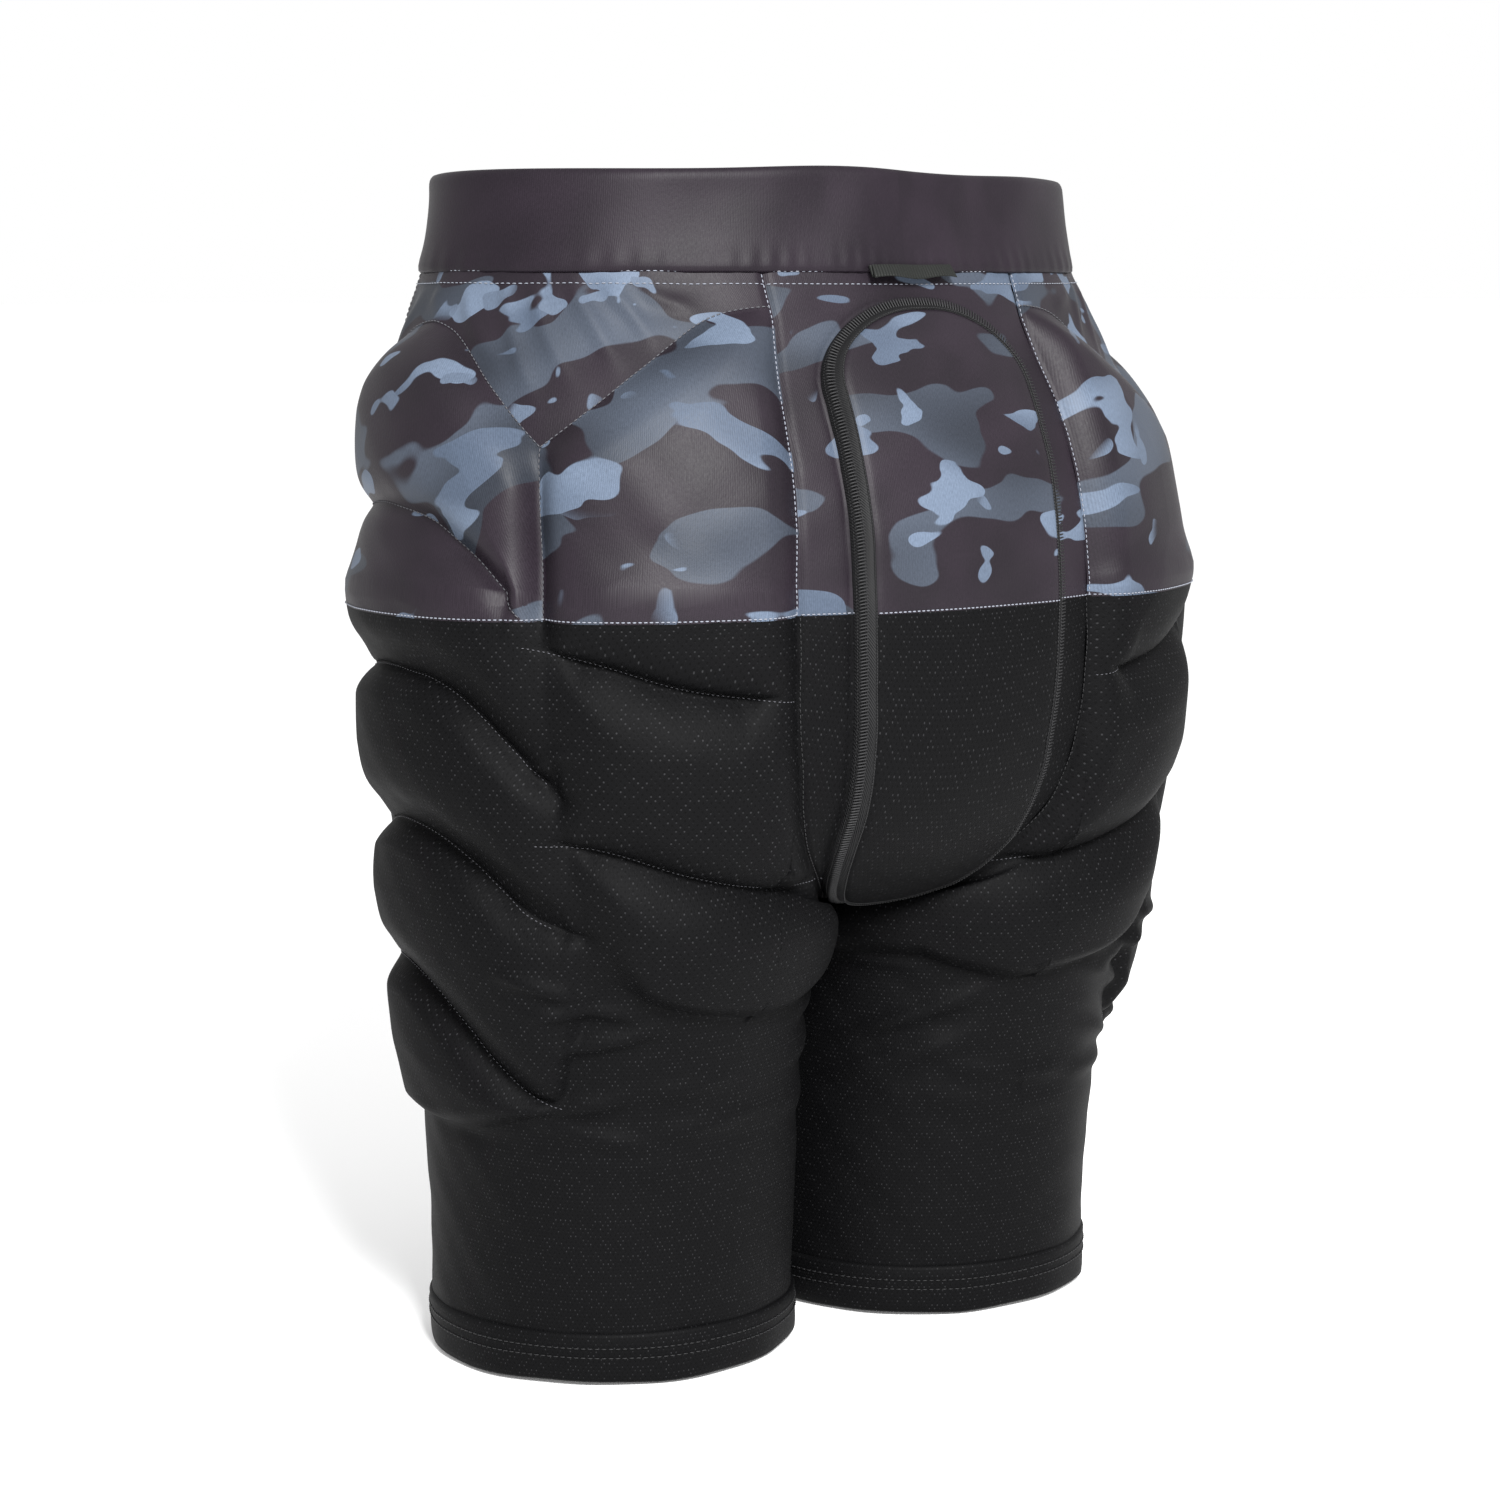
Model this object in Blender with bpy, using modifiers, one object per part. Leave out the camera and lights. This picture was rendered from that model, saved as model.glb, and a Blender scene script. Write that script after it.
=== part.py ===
"""Padded impact shorts for skiing and snowboarding, as a Blender model.

The wearer's body is one smooth surface, and every layer of the shorts is a sheet or a slab at its own
height above it: lining, foam pads, outer fabric. A point on the left half is named by its angle round
the left thigh, 0 at the back and 90 at the outer side, and by its height. The right half is a mirror
copy. Metres, +Z up, the wearer faces -Y, and z = 0 is the top edge of the waistband.
"""

import math

import bmesh
import bpy
import numpy as np

# ---- Driving dimensions ---------------------------------------------------------------------------
LENGTH = 0.500            # waistband's top edge to the hem
BAND_SEAM = -0.041        # where the waistband is sewn to the printed panels
PRINT_EDGE = -0.177       # where the printed fabric meets the black fabric
HEM_TOP = -LENGTH + 0.022
THIGH_X = 0.088           # the left thigh's axis
THIGH_Y = 0.014

FABRIC = 0.0012           # one layer of cloth
LINING_HEIGHT = 0.0005    # heights above the body
PAD_HEIGHT = 0.0030
PAD_THICKNESS = 0.0098
FABRIC_LOW = 0.0032       # outer fabric where nothing lies under it
FABRIC_HIGH = 0.0144      # outer fabric over a pad
RAMP = 0.012              # how far the fabric takes to come down beside a padded zone
TOP_RAMP = 0.011          # and below the waistband, over the tailbone pad
SEAM_GAP = 0.0008         # from a seam to the edge of the panel beside it
PAD_GAP = 0.004           # from a groove's middle to the pad's edge
PAD_INSET = 0.0125        # from a padded zone's edge to the pad's edge
YOKE_SETBACK = 0.010      # from the yoke's seam down to the padded zone
FRONT_SEAM = 126.0        # the angle of the seam between hip and front panels
PAD_FRONT = 121.0         # the angle where the hip pads end

# Height, half width, half depth and centre of the trunk
TRUNK = (
    (0.02, 0.1465, 0.095, 0.000), (0.00, 0.1465, 0.095, 0.000), (-0.04, 0.152, 0.100, 0.001),
    (-0.07, 0.165, 0.107, 0.005), (-0.10, 0.177, 0.114, 0.013), (-0.14, 0.182, 0.119, 0.021),
    (-0.18, 0.180, 0.121, 0.022), (-0.22, 0.177, 0.120, 0.022), (-0.26, 0.176, 0.117, 0.021),
    (-0.30, 0.173, 0.111, 0.019), (-0.34, 0.168, 0.104, 0.017),
)
# Height, outer edge, half depth and centre of a thigh
THIGH = (
    (-0.52, 0.158, 0.0735, 0.009), (-0.50, 0.158, 0.0735, 0.009), (-0.46, 0.158, 0.0745, 0.010),
    (-0.42, 0.1595, 0.0765, 0.011), (-0.38, 0.1625, 0.080, 0.012), (-0.34, 0.1685, 0.086, 0.014),
    (-0.30, 0.173, 0.093, 0.017), (-0.26, 0.175, 0.096, 0.020), (-0.22, 0.1755, 0.095, 0.022),
    (-0.18, 0.178, 0.092, 0.022),
)
THIGH_INNER = 0.009       # the thigh's inner edge
TRUNK_FLOOR_START = -0.18 # below this the trunk closes into the crotch
TRUNK_FLOOR_DEPTH = 0.128
THIGH_TOP = -0.17         # above this the thigh fades into the trunk
MERGE = 0.022             # how softly thigh and trunk meet

# Grooves between the pads, each as (angle, height) points
SEAT_TOP = ((-20, -0.056), (0, -0.061), (21, -0.080), (36, -0.096), (49, -0.111))
SEAT_GROOVE_1 = ((-20, -0.212), (0, -0.208), (17, -0.203), (34, -0.193), (49, -0.186))
SEAT_GROOVE_2 = ((-30, -0.287), (-4, -0.286), (16, -0.278), (32, -0.268), (49, -0.263))
SEAT_BOTTOM = ((-30, -0.340), (-16, -0.344), (2, -0.341), (16, -0.336), (26, -0.328), (34, -0.312))
HIP_TOP = ((49, -0.111), (64, -0.090), (86, -0.066), (106, -0.066), (130, -0.100))
HIP_GROOVE_1 = ((46, -0.182), (52.6, -0.171), (61.5, -0.155), (72, -0.142), (88, -0.135), (130, -0.142))
HIP_GROOVE_2 = ((42, -0.248), (56, -0.224), (63, -0.213), (73, -0.203), (86, -0.199), (130, -0.206))
HIP_GROOVE_3 = ((40, -0.303), (51, -0.296), (67, -0.277), (77, -0.268), (88, -0.263), (130, -0.275))
HIP_GROOVE_4 = ((46, -0.380), (56, -0.372), (67, -0.359), (76, -0.346), (88, -0.332), (130, -0.326))
HIP_BOTTOM = ((46, -0.378), (57, -0.382), (70, -0.388), (88, -0.391), (130, -0.388))
GUSSET_ROWS = 22
SEAT_START = -30.0
SIDE_SEAM = ((-0.111, 49.0), (-0.177, 46.0), (-0.265, 42.0), (-0.300, 38.0), (-0.345, 36.0))

# The middle panel's half width, by the angle in the middle plane: 0 points back, 90 down, 180 forward
MIDDLE_HALF = (
    (-40, 0.064), (-20, 0.070), (0, 0.073), (25, 0.075), (42, 0.073), (54, 0.063), (63, 0.042),
    (70, 0.025), (77, 0.011), (84, 0.006), (102, 0.006), (112, 0.011), (124, 0.022), (140, 0.033),
    (160, 0.040), (190, 0.045), (230, 0.047),
)
MIDDLE_CENTRE = (0.019, -0.130)   # y and z that the middle panel's angle turns about

# The tailbone pad: height of its top, middle and bottom, and its half width there
TAIL_PAD_TOP = -0.058
TAIL_PAD_END_ANGLE = 70.0
TAIL_PAD_HALF = 0.047
TAIL_PAD_RADIUS = 0.135   # roughly, from the middle panel's turning centre to the pad
TAPE_WIDTH = 0.0075
TAPE_OUTSIDE = 0.004      # from the pad's edge to the tape's middle


# ---- The body's surface ---------------------------------------------------------------------------
def smooth_table(at, table, column):
    """A smooth curve through one column of a table whose first column is the position."""
    rows = sorted(table)
    x = np.array([row[0] for row in rows], float)
    y = np.array([row[column] for row in rows], float)
    slope = np.gradient(y, x)
    at = np.asarray(at, float)
    i = np.clip(np.searchsorted(x, at) - 1, 0, len(x) - 2)
    step = x[i + 1] - x[i]
    t = np.clip((at - x[i]) / step, 0, 1)
    return (
        (2 * t**3 - 3 * t**2 + 1) * y[i]
        + (t**3 - 2 * t**2 + t) * step * slope[i]
        + (-2 * t**3 + 3 * t**2) * y[i + 1]
        + (t**3 - t**2) * step * slope[i + 1]
    )


def body(points):
    """Roughly the signed distance from the body's surface, negative inside."""
    x, y, z = np.abs(points[..., 0]), points[..., 1], points[..., 2]
    closing = np.clip((TRUNK_FLOOR_START - z) / TRUNK_FLOOR_DEPTH, 0, 0.999)
    shrink = (1 - closing**4) ** 0.45
    half_width = smooth_table(z, TRUNK, 1) * shrink
    half_depth = smooth_table(z, TRUNK, 2) * shrink
    centre = smooth_table(z, TRUNK, 3)
    trunk = np.hypot(x / half_width, (y - centre) / half_depth) - 1
    trunk = trunk * np.minimum(half_width, half_depth)
    floor = TRUNK_FLOOR_START - TRUNK_FLOOR_DEPTH
    trunk = np.where(z < floor, 0.05 + floor - z, trunk)

    outer = smooth_table(z, THIGH, 1)
    depth = smooth_table(z, THIGH, 2)
    middle = (outer + THIGH_INNER) / 2
    half = (outer - THIGH_INNER) / 2
    thigh = np.hypot((x - middle) / half, (y - smooth_table(z, THIGH, 3)) / depth) - 1
    thigh = thigh * np.minimum(half, depth) + np.clip(z - THIGH_TOP, 0, None) * 0.8

    mix = np.clip(0.5 + 0.5 * (thigh - trunk) / MERGE, 0, 1)
    return thigh + (trunk - thigh) * mix - MERGE * mix * (1 - mix)


def outward(points):
    """The body's unit normals near these points."""
    e = 2e-4
    slopes = [
        body(points + e * axis) - body(points - e * axis) for axis in np.eye(3)
    ]
    normals = np.stack(slopes, -1)
    return normals / np.linalg.norm(normals, axis=-1, keepdims=True)


def cast(starts, directions, reach=0.30, steps=60):
    """Where rays from inside the body first leave it."""
    lengths = np.linspace(0, reach, steps)
    outside = np.stack([body(starts + directions * s) > 0 for s in lengths], -1)
    first = np.where(outside.any(-1), np.argmax(outside, -1), steps - 1)
    low, high = lengths[np.maximum(first - 1, 0)], lengths[first]
    for _ in range(26):
        middle = (low + high) / 2
        out = body(starts + directions * middle[..., None]) > 0
        high = np.where(out, middle, high)
        low = np.where(out, low, middle)
    return starts + directions * ((low + high) / 2)[..., None]


def side_point(angle, z):
    """The body's surface at an angle in degrees round the left thigh, and at a height."""
    angle = np.radians(angle)
    z = np.asarray(z, float) + 0 * angle
    starts = np.stack([np.full_like(z, THIGH_X), np.full_like(z, THIGH_Y), z], -1)
    directions = np.stack([np.sin(angle) + 0 * z, np.cos(angle) + 0 * z, 0 * z], -1)
    return cast(starts, directions)


def ring_point(angle, z):
    """The surface at an angle in degrees round the whole trunk, from the back towards the left."""
    angle = np.radians(angle)
    starts = np.stack([0 * z, np.full_like(z, THIGH_Y), z], -1)
    directions = np.stack([np.sin(angle), np.cos(angle), 0 * z], -1)
    return cast(starts, directions)


def middle_point(across, angle):
    """The surface in the middle panel: x in metres, and the angle in the middle plane."""
    angle = np.radians(angle)
    y, z = MIDDLE_CENTRE
    starts = np.stack([across, np.full_like(across, y), np.full_like(across, z)], -1)
    directions = np.stack([0 * across, np.cos(angle), -np.sin(angle)], -1)
    return cast(starts, directions)


def level_angle(u, z, front=False):
    """For places u across the middle panel, 0 to 1, the angle at which its surface has this height."""
    angles = np.linspace(90, 240, 150) if front else np.linspace(90, -60, 150)
    across = np.outer(2 * np.atleast_1d(u) - 1, curve(MIDDLE_HALF, angles))
    heights = middle_point(across, angles + 0 * across)[..., 2]
    return np.array([np.interp(z, row, angles) for row in heights])


# ---- Heights of the layers above the body ---------------------------------------------------------
def curve(points, at):
    """A line through (position, value) points."""
    rows = sorted(points)
    return np.interp(at, [row[0] for row in rows], [row[1] for row in rows])


def softly_least(one, other, softness=0.02):
    """The smaller of two lengths, rounded off where they are nearly equal."""
    mix = np.clip(0.5 + 0.5 * (other - one) / softness, 0, 1)
    return other + (one - other) * mix - softness * mix * (1 - mix)


def zone_depth(angle, z, top, bottom, first, last):
    """How far a point lies inside the zone between two grooves and two angles, in metres."""
    arc = np.radians(np.minimum(angle - first, last - angle)) * THIGH_X
    below_yoke = curve(top, angle) - YOKE_SETBACK - z
    return softly_least(softly_least(below_yoke, z - curve(bottom, angle)), arc)


def back_edge(z):
    """The angle round the thigh where the middle panel's back seam runs."""
    return np.interp(z, BACK_SEAM[:, 1], BACK_SEAM[:, 0])


def front_edge(z):
    """The same for its front seam."""
    return np.interp(z, FRONT_SEAM_LINE[:, 1], FRONT_SEAM_LINE[:, 0])


def seat_start(z):
    """The angle where the seat's padded zone starts."""
    return np.maximum(back_edge(z) + 5, SEAT_START)


def raised(outside):
    """The outer fabric's height at this distance outside a padded zone."""
    share = np.clip(1 - outside / RAMP, 0, 1)
    return FABRIC_LOW + (FABRIC_HIGH - FABRIC_LOW) * share * share * (3 - 2 * share)


def fabric_height(angle, z):
    """The outer fabric's height over the left half: high over the pads, low elsewhere."""
    seam = curve(SIDE_SEAM, z)
    seat = zone_depth(angle, z, SEAT_TOP, SEAT_BOTTOM, seat_start(z), seam)
    hip = zone_depth(angle, z, HIP_TOP, HIP_BOTTOM, seam, PAD_FRONT)
    return raised(-np.maximum(seat, hip))


def tail_pad_size():
    """The middle and half length of the tailbone pad, as angles, and its half length in metres."""
    top = level_angle(0.5, TAIL_PAD_TOP)[0]
    half = (TAIL_PAD_END_ANGLE - top) / 2
    return top + half, half, math.radians(half) * TAIL_PAD_RADIUS


def tail_pad_half(angle):
    """The tailbone pad's half width along the middle panel, narrower and rounder at its low end."""
    middle, half, length = tail_pad_size()
    along = np.abs(angle - middle) / half * length
    width = TAIL_PAD_HALF * (1 - 0.22 * np.clip((angle - middle) / half, 0, 1) ** 2)
    corner = width * 0.85
    past = np.clip(along - (length - corner), 0, corner)
    return width - corner + np.sqrt(corner**2 - past**2)


def middle_height(across, angle, z):
    """The outer fabric's height over the middle panel. It comes down to the waistband at the top."""
    middle, half, length = tail_pad_size()
    beside = np.abs(across) - TAIL_PAD_HALF * 0.15
    beyond = np.abs(angle - middle) / half * length - (length - TAIL_PAD_HALF * 0.85)
    outside = np.hypot(np.clip(beside, 0, None), np.clip(beyond, 0, None)) - TAIL_PAD_HALF * 0.85
    below_band = np.clip((BAND_SEAM - 2 * SEAM_GAP - z) / TOP_RAMP, 0, 1)
    return FABRIC_LOW + (raised(outside - PAD_INSET) - FABRIC_LOW) * below_band


# ---- Making objects -------------------------------------------------------------------------------
def clear_scene():
    for old in list(bpy.data.objects):
        bpy.data.objects.remove(old, do_unlink=True)


def material(name, colour, roughness):
    made = bpy.data.materials.new(name)
    made.use_nodes = True
    shader = made.node_tree.nodes["Principled BSDF"]
    shader.inputs["Base Color"].default_value = (*colour, 1)
    shader.inputs["Roughness"].default_value = roughness
    shader.inputs["Metallic"].default_value = 0
    return made


def sheet_mesh(name, columns, rows, place, closed=False):
    """A grid primitive whose vertices are put in place by place(u, v), with u and v from 0 to 1."""
    grid = bmesh.new()
    bmesh.ops.create_grid(grid, x_segments=columns, y_segments=rows, size=0.5)
    u = np.array([vertex.co.x + 0.5 for vertex in grid.verts])
    v = np.array([vertex.co.y + 0.5 for vertex in grid.verts])
    for vertex, where in zip(grid.verts, place(u, v)):
        vertex.co = where
    bmesh.ops.remove_doubles(grid, verts=grid.verts, dist=1e-6)
    grid.normal_update()
    centres = np.array([face.calc_center_median() for face in grid.faces])
    facing = np.array([face.normal for face in grid.faces])
    if (outward(centres) * facing).sum() < 0:
        bmesh.ops.reverse_faces(grid, faces=grid.faces)
    mesh = bpy.data.meshes.new(name)
    grid.to_mesh(mesh)
    grid.free()
    return mesh


def add(name, mesh, look, thickness, offset=1.0):
    """An object made solid from a sheet, in the shorts' collection. Offset 1 grows it outwards."""
    made = bpy.data.objects.new(name, mesh)
    made.data.materials.append(look)
    solid = made.modifiers.new("Solidify", "SOLIDIFY")
    solid.thickness = thickness
    solid.offset = offset
    SHORTS.objects.link(made)
    made.data.shade_smooth()
    return made


def add_pair(name, mesh, look, thickness, offset=1.0):
    """The left object and its mirror copy on the right."""
    add(name + "_left", mesh, look, thickness, offset)
    other = mesh.copy()
    for vertex in other.vertices:
        vertex.co.x = -vertex.co.x
    other.flip_normals()
    add(name + "_right", other, look, thickness, offset)


def lifted(points, height):
    return points + outward(points) * np.asarray(height)[..., None]


def side_patch(name, look, left, right, top, bottom, columns, rows, height, thickness):
    """A left and right pair of patches. The edges left and right give an angle for a height, and
    top and bottom a height for an angle."""

    def place(u, v):
        z = 0 * u + (top(90) + bottom(90)) / 2
        for _ in range(12):
            angle = left(z) + (right(z) - left(z)) * u
            z = bottom(angle) + (top(angle) - bottom(angle)) * v
        flat = side_point(angle, z)
        return lifted(flat, height(angle, z) if callable(height) else height + 0 * z)

    add_pair(name, sheet_mesh(name, columns, rows, place), look, thickness)


def along(points, shift=0.0):
    """An edge through (position, value) points, moved by a shift."""
    return lambda at: curve(points, at) + shift


def at(value):
    """An edge that is the same everywhere."""
    return lambda other: value + 0 * np.asarray(other, float)


# ---- The pieces -----------------------------------------------------------------------------------
def make_waistband():
    """Folded fabric round the waist, with the knitted elastic inside the fold."""
    columns, wall = 44, 0.0010
    outer, inner, bottom = 0.0050, 0.0016, BAND_SEAM + SEAM_GAP
    top = -0.0010
    path = ((outer, bottom), (outer, bottom / 2), (outer, top), (inner, top),
            (inner, bottom / 2), (inner, bottom))

    def place(u, v):
        step = np.round(v * (len(path) - 1)).astype(int)
        z = np.array([path[i][1] for i in step])
        height = np.array([path[i][0] for i in step])
        flat = ring_point(360 * u, z)
        sideways = flat - np.stack([0 * z, np.full_like(z, THIGH_Y), z], -1)
        sideways /= np.linalg.norm(sideways, axis=-1, keepdims=True)
        return flat + sideways * height[:, None]

    mesh = sheet_mesh("waistband", columns, len(path) - 1, place)
    add("waistband", mesh, PRINT, wall, offset=0)

    def place_elastic(u, v):
        z = np.interp(v, (0, 0.5, 1), (bottom + 0.001, bottom / 2, top - 0.0022))
        flat = ring_point(360 * u, z)
        sideways = flat - np.stack([0 * z, np.full_like(z, THIGH_Y), z], -1)
        sideways /= np.linalg.norm(sideways, axis=-1, keepdims=True)
        return flat + sideways * ((outer + inner) / 2)

    mesh = sheet_mesh("waist_elastic", columns, 2, place_elastic)
    add("waist_elastic", mesh, ELASTIC, 0.0012, offset=0)


def make_printed_panels():
    """Yoke, seat, two hip panels and a front panel on each side, sewn below the waistband."""
    top = at(BAND_SEAM - 2 * SEAM_GAP)
    edge = at(PRINT_EDGE + SEAM_GAP)
    gap = math.degrees(SEAM_GAP / THIGH_X)
    hip_end = at(FRONT_SEAM - gap)

    def back(z):
        return back_edge(z) + 1.4 * gap

    def yoke_bottom(angle):
        return np.where(angle < 49, curve(SEAT_TOP, angle), curve(HIP_TOP, angle)) + SEAM_GAP

    def hip_bottom(angle):
        return np.maximum(curve(HIP_GROOVE_1, angle) + SEAM_GAP, PRINT_EDGE + SEAM_GAP)

    panels = (
        ("yoke_panel", back, hip_end, top, yoke_bottom, 20, 3, fabric_height),
        ("seat_panel", back, along(SIDE_SEAM, -gap), along(SEAT_TOP, -SEAM_GAP), edge, 8, 8,
         fabric_height),
        ("hip_panel_upper", along(SIDE_SEAM, gap), hip_end, along(HIP_TOP, -SEAM_GAP), hip_bottom,
         12, 6, fabric_height),
        ("hip_panel_lower", at(54.5), hip_end, along(HIP_GROOVE_1, -SEAM_GAP), edge, 12, 3,
         fabric_height),
        ("front_panel", at(FRONT_SEAM + gap), lambda z: front_edge(z) - 1.4 * gap, top, edge, 7, 6,
         fabric_height),
    )
    for name, left, right, upper, lower, columns, rows, height in panels:
        side_patch(name, PRINT, left, right, upper, lower, columns, rows, height, FABRIC)


def make_middle_panels():
    """The strip from the back of the waist, under the crotch, to the front of the waist."""
    top, edge = BAND_SEAM - 2 * SEAM_GAP, PRINT_EDGE + SEAM_GAP
    below = PRINT_EDGE - SEAM_GAP

    def strip(name, look, first, last, columns, rows):
        """A strip between two level edges, each given as a height and whether it is in front."""

        def place(u, v):
            start, end = level_angle(u, *first), level_angle(u, *last)
            angle = start + (end - start) * v
            across = (2 * u - 1) * (curve(MIDDLE_HALF, angle) - SEAM_GAP)
            flat = middle_point(across, angle)
            return lifted(flat, middle_height(across, angle, flat[..., 2]))

        add(name, sheet_mesh(name, columns, rows, place), look, FABRIC)

    strip("back_middle_panel", PRINT, (top, False), (edge, False), 12, 12)
    strip("crotch_gusset", BLACK, (below, False), (below, True), 10, GUSSET_ROWS)
    strip("front_middle_panel", PRINT, (edge, True), (top, True), 6, 7)


def make_tailbone_pad():
    """The tailbone's slab of foam, and the flat stitched tape that holds its outline."""
    middle, half, length = tail_pad_size()

    def place(u, v):
        bunched = np.sin((v - 0.5) * math.pi)
        angle = middle + half * 0.995 * bunched
        across = (2 * u - 1) * tail_pad_half(angle)
        return lifted(middle_point(across, angle), PAD_HEIGHT + 0 * u)

    add("tailbone_pad", sheet_mesh("tailbone_pad", 8, 14, place), FOAM, PAD_THICKNESS)

    angles = middle + half * np.sin(np.linspace(-math.pi / 2, math.pi / 2, 200))
    side = np.stack([tail_pad_half(angles), np.radians(angles - middle) * TAIL_PAD_RADIUS], -1)
    outline = np.concatenate([side, side[::-1] * (-1, 1), side[:1]])
    distance = np.hypot(*np.diff(outline, axis=0).T)
    distance = np.concatenate([[0], np.cumsum(distance)])

    def tape(u, v):
        length = u * distance[-1]
        x = np.interp(length, distance, outline[:, 0])
        y = np.interp(length, distance, outline[:, 1])
        corner = TAIL_PAD_HALF * 0.85
        centre_y = np.clip(y, -(half_length - corner), half_length - corner)
        away = np.stack([x - np.clip(x, -0.006, 0.006), y - centre_y], -1)
        away /= np.linalg.norm(away, axis=-1, keepdims=True) + 1e-9
        spread = TAPE_OUTSIDE + (v - 0.5) * TAPE_WIDTH
        across = x + away[:, 0] * spread
        angle = middle + np.degrees((y + away[:, 1] * spread) / TAIL_PAD_RADIUS)
        flat = middle_point(across, angle)
        return lifted(flat, middle_height(across, angle, flat[..., 2]) + FABRIC + 0.0015)

    half_length = length
    add("tailbone_tape", sheet_mesh("tailbone_tape", 56, 1, tape), TAPE, 0.0008)


def make_label():
    """A folded woven label, sewn in at its top edge, that hangs from the waistband's seam."""
    half, drop, z = 0.021, 0.0075, BAND_SEAM - 0.0014
    y = float(middle_point(np.zeros(1), level_angle(0.5, z))[0, 1])
    bpy.ops.mesh.primitive_cube_add(size=1)
    made = bpy.context.object
    made.name = "woven_label"
    made.data.transform(((2 * half, 0, 0, 0), (0, 0.0008, 0, 0), (0, 0, drop, -drop / 2), (0, 0, 0, 1)))
    made.location = (0, y + LABEL_STAND, z)
    made.rotation_euler = (math.radians(LABEL_TILT), 0, 0)
    made.data.materials.append(TAPE)
    for collection in list(made.users_collection):
        collection.objects.unlink(made)
    SHORTS.objects.link(made)
    edge = made.modifiers.new("Bevel", "BEVEL")
    edge.width = 0.0002
    edge.segments = 1


def make_pads():
    """Foam slabs in a row down the seat and another down the hip, with a groove between each two."""
    gap = math.degrees(PAD_GAP / THIGH_X)
    inset = math.degrees(PAD_INSET / THIGH_X)
    seat_end = along(SIDE_SEAM, -gap)
    hip_start = along(SIDE_SEAM, gap)
    front = at(PAD_FRONT - inset)

    def start(z):
        return seat_start(z) + inset

    def above(points, edge=False):
        return along(points, -PAD_INSET - YOKE_SETBACK if edge else -PAD_GAP)

    def below(points, edge=False):
        return along(points, PAD_INSET if edge else PAD_GAP)

    def last_groove(angle):
        return np.maximum(below(HIP_GROOVE_4)(angle), below(HIP_BOTTOM, True)(angle))

    slabs = (
        ("seat_pad_upper", start, seat_end, above(SEAT_TOP, True), below(SEAT_GROOVE_1), 6, 8),
        ("seat_pad_middle", start, seat_end, above(SEAT_GROOVE_1), below(SEAT_GROOVE_2), 6, 5),
        ("seat_pad_lower", start, at(24.0), above(SEAT_GROOVE_2), below(SEAT_BOTTOM, True), 5, 3),
        ("hip_pad_1", at(55.0), front, above(HIP_TOP, True), below(HIP_GROOVE_1), 6, 4),
        ("hip_pad_2", hip_start, front, above(HIP_GROOVE_1), below(HIP_GROOVE_2), 7, 4),
        ("thigh_pad_1", hip_start, front, above(HIP_GROOVE_2), below(HIP_GROOVE_3), 7, 4),
        ("thigh_pad_2", at(50.0), front, above(HIP_GROOVE_3), last_groove, 6, 4),
        ("thigh_pad_3", at(66.0), front, above(HIP_GROOVE_4), below(HIP_BOTTOM, True), 6, 4),
    )
    for name, left, right, top, bottom, columns, rows in slabs:
        side_patch(name, FOAM, left, right, top, bottom, columns, rows, PAD_HEIGHT, PAD_THICKNESS)


def make_legs():
    """The black tube of each leg, its lining against the skin, and its folded hem."""
    columns, rows = len(RIM) - 1, 16
    edge_z = HEM_TOP + SEAM_GAP

    def rim_at(u):
        column = np.arange(columns + 1) / columns
        return np.interp(u, column, RIM[:, 0]), np.interp(u, column, RIM[:, 1])

    def place(u, v):
        angle, rim = rim_at(u)
        z = edge_z + (rim - SEAM_GAP - edge_z) * v
        padded = fabric_height(np.where(angle > 230, angle - 360, angle), z)
        height = np.where((angle < PAD_FRONT + 25) | (angle > 290), padded, FABRIC_LOW)
        return lifted(side_point(angle, z), height)

    add_pair("leg_panel", sheet_mesh("leg_panel", columns, rows, place), BLACK, FABRIC)

    def lining(u, v):
        angle = 360 * u
        away = np.abs((angle - 50 + 180) % 360 - 180)
        highest = np.interp(away, (75, 110), (PRINT_EDGE, -0.34))
        rim = np.interp((angle - RIM[0, 0]) % 360 + RIM[0, 0], RIM[:, 0], RIM[:, 1])
        top = np.minimum(rim - 0.004, highest)
        return lifted(side_point(angle, -0.40 + (top + 0.40) * v), LINING_HEIGHT + 0 * u)

    mesh = sheet_mesh("leg_lining", 32, 7, lining)
    add_pair("leg_lining", mesh, MESH, 0.0007)

    bottom, top = -LENGTH + 0.0005, HEM_TOP - SEAM_GAP
    outer, inner = FABRIC_LOW + 0.0006, 0.0006
    path = ((outer, top), (outer, bottom), (inner, bottom), (inner, top))

    def hem(u, v):
        step = np.round(v * (len(path) - 1)).astype(int)
        z = np.array([path[i][1] for i in step])
        height = np.array([path[i][0] for i in step])
        flat = side_point(360 * u, z)
        normal = outward(flat) * (1, 1, 0)
        normal /= np.linalg.norm(normal, axis=-1, keepdims=True)
        return flat + normal * height[:, None]

    add_pair("leg_hem", sheet_mesh("leg_hem", 30, len(path) - 1, hem), BLACK, 0.0010, 0)


def make_pocket_lining():
    """The mesh on the body side of the printed panels, which closes the pads' pockets."""
    side_patch("pocket_lining", MESH, lambda z: back_edge(z) + 2, at(FRONT_SEAM),
               at(BAND_SEAM - 0.004), at(PRINT_EDGE + 0.002), 16, 5, LINING_HEIGHT, 0.0007)


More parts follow.
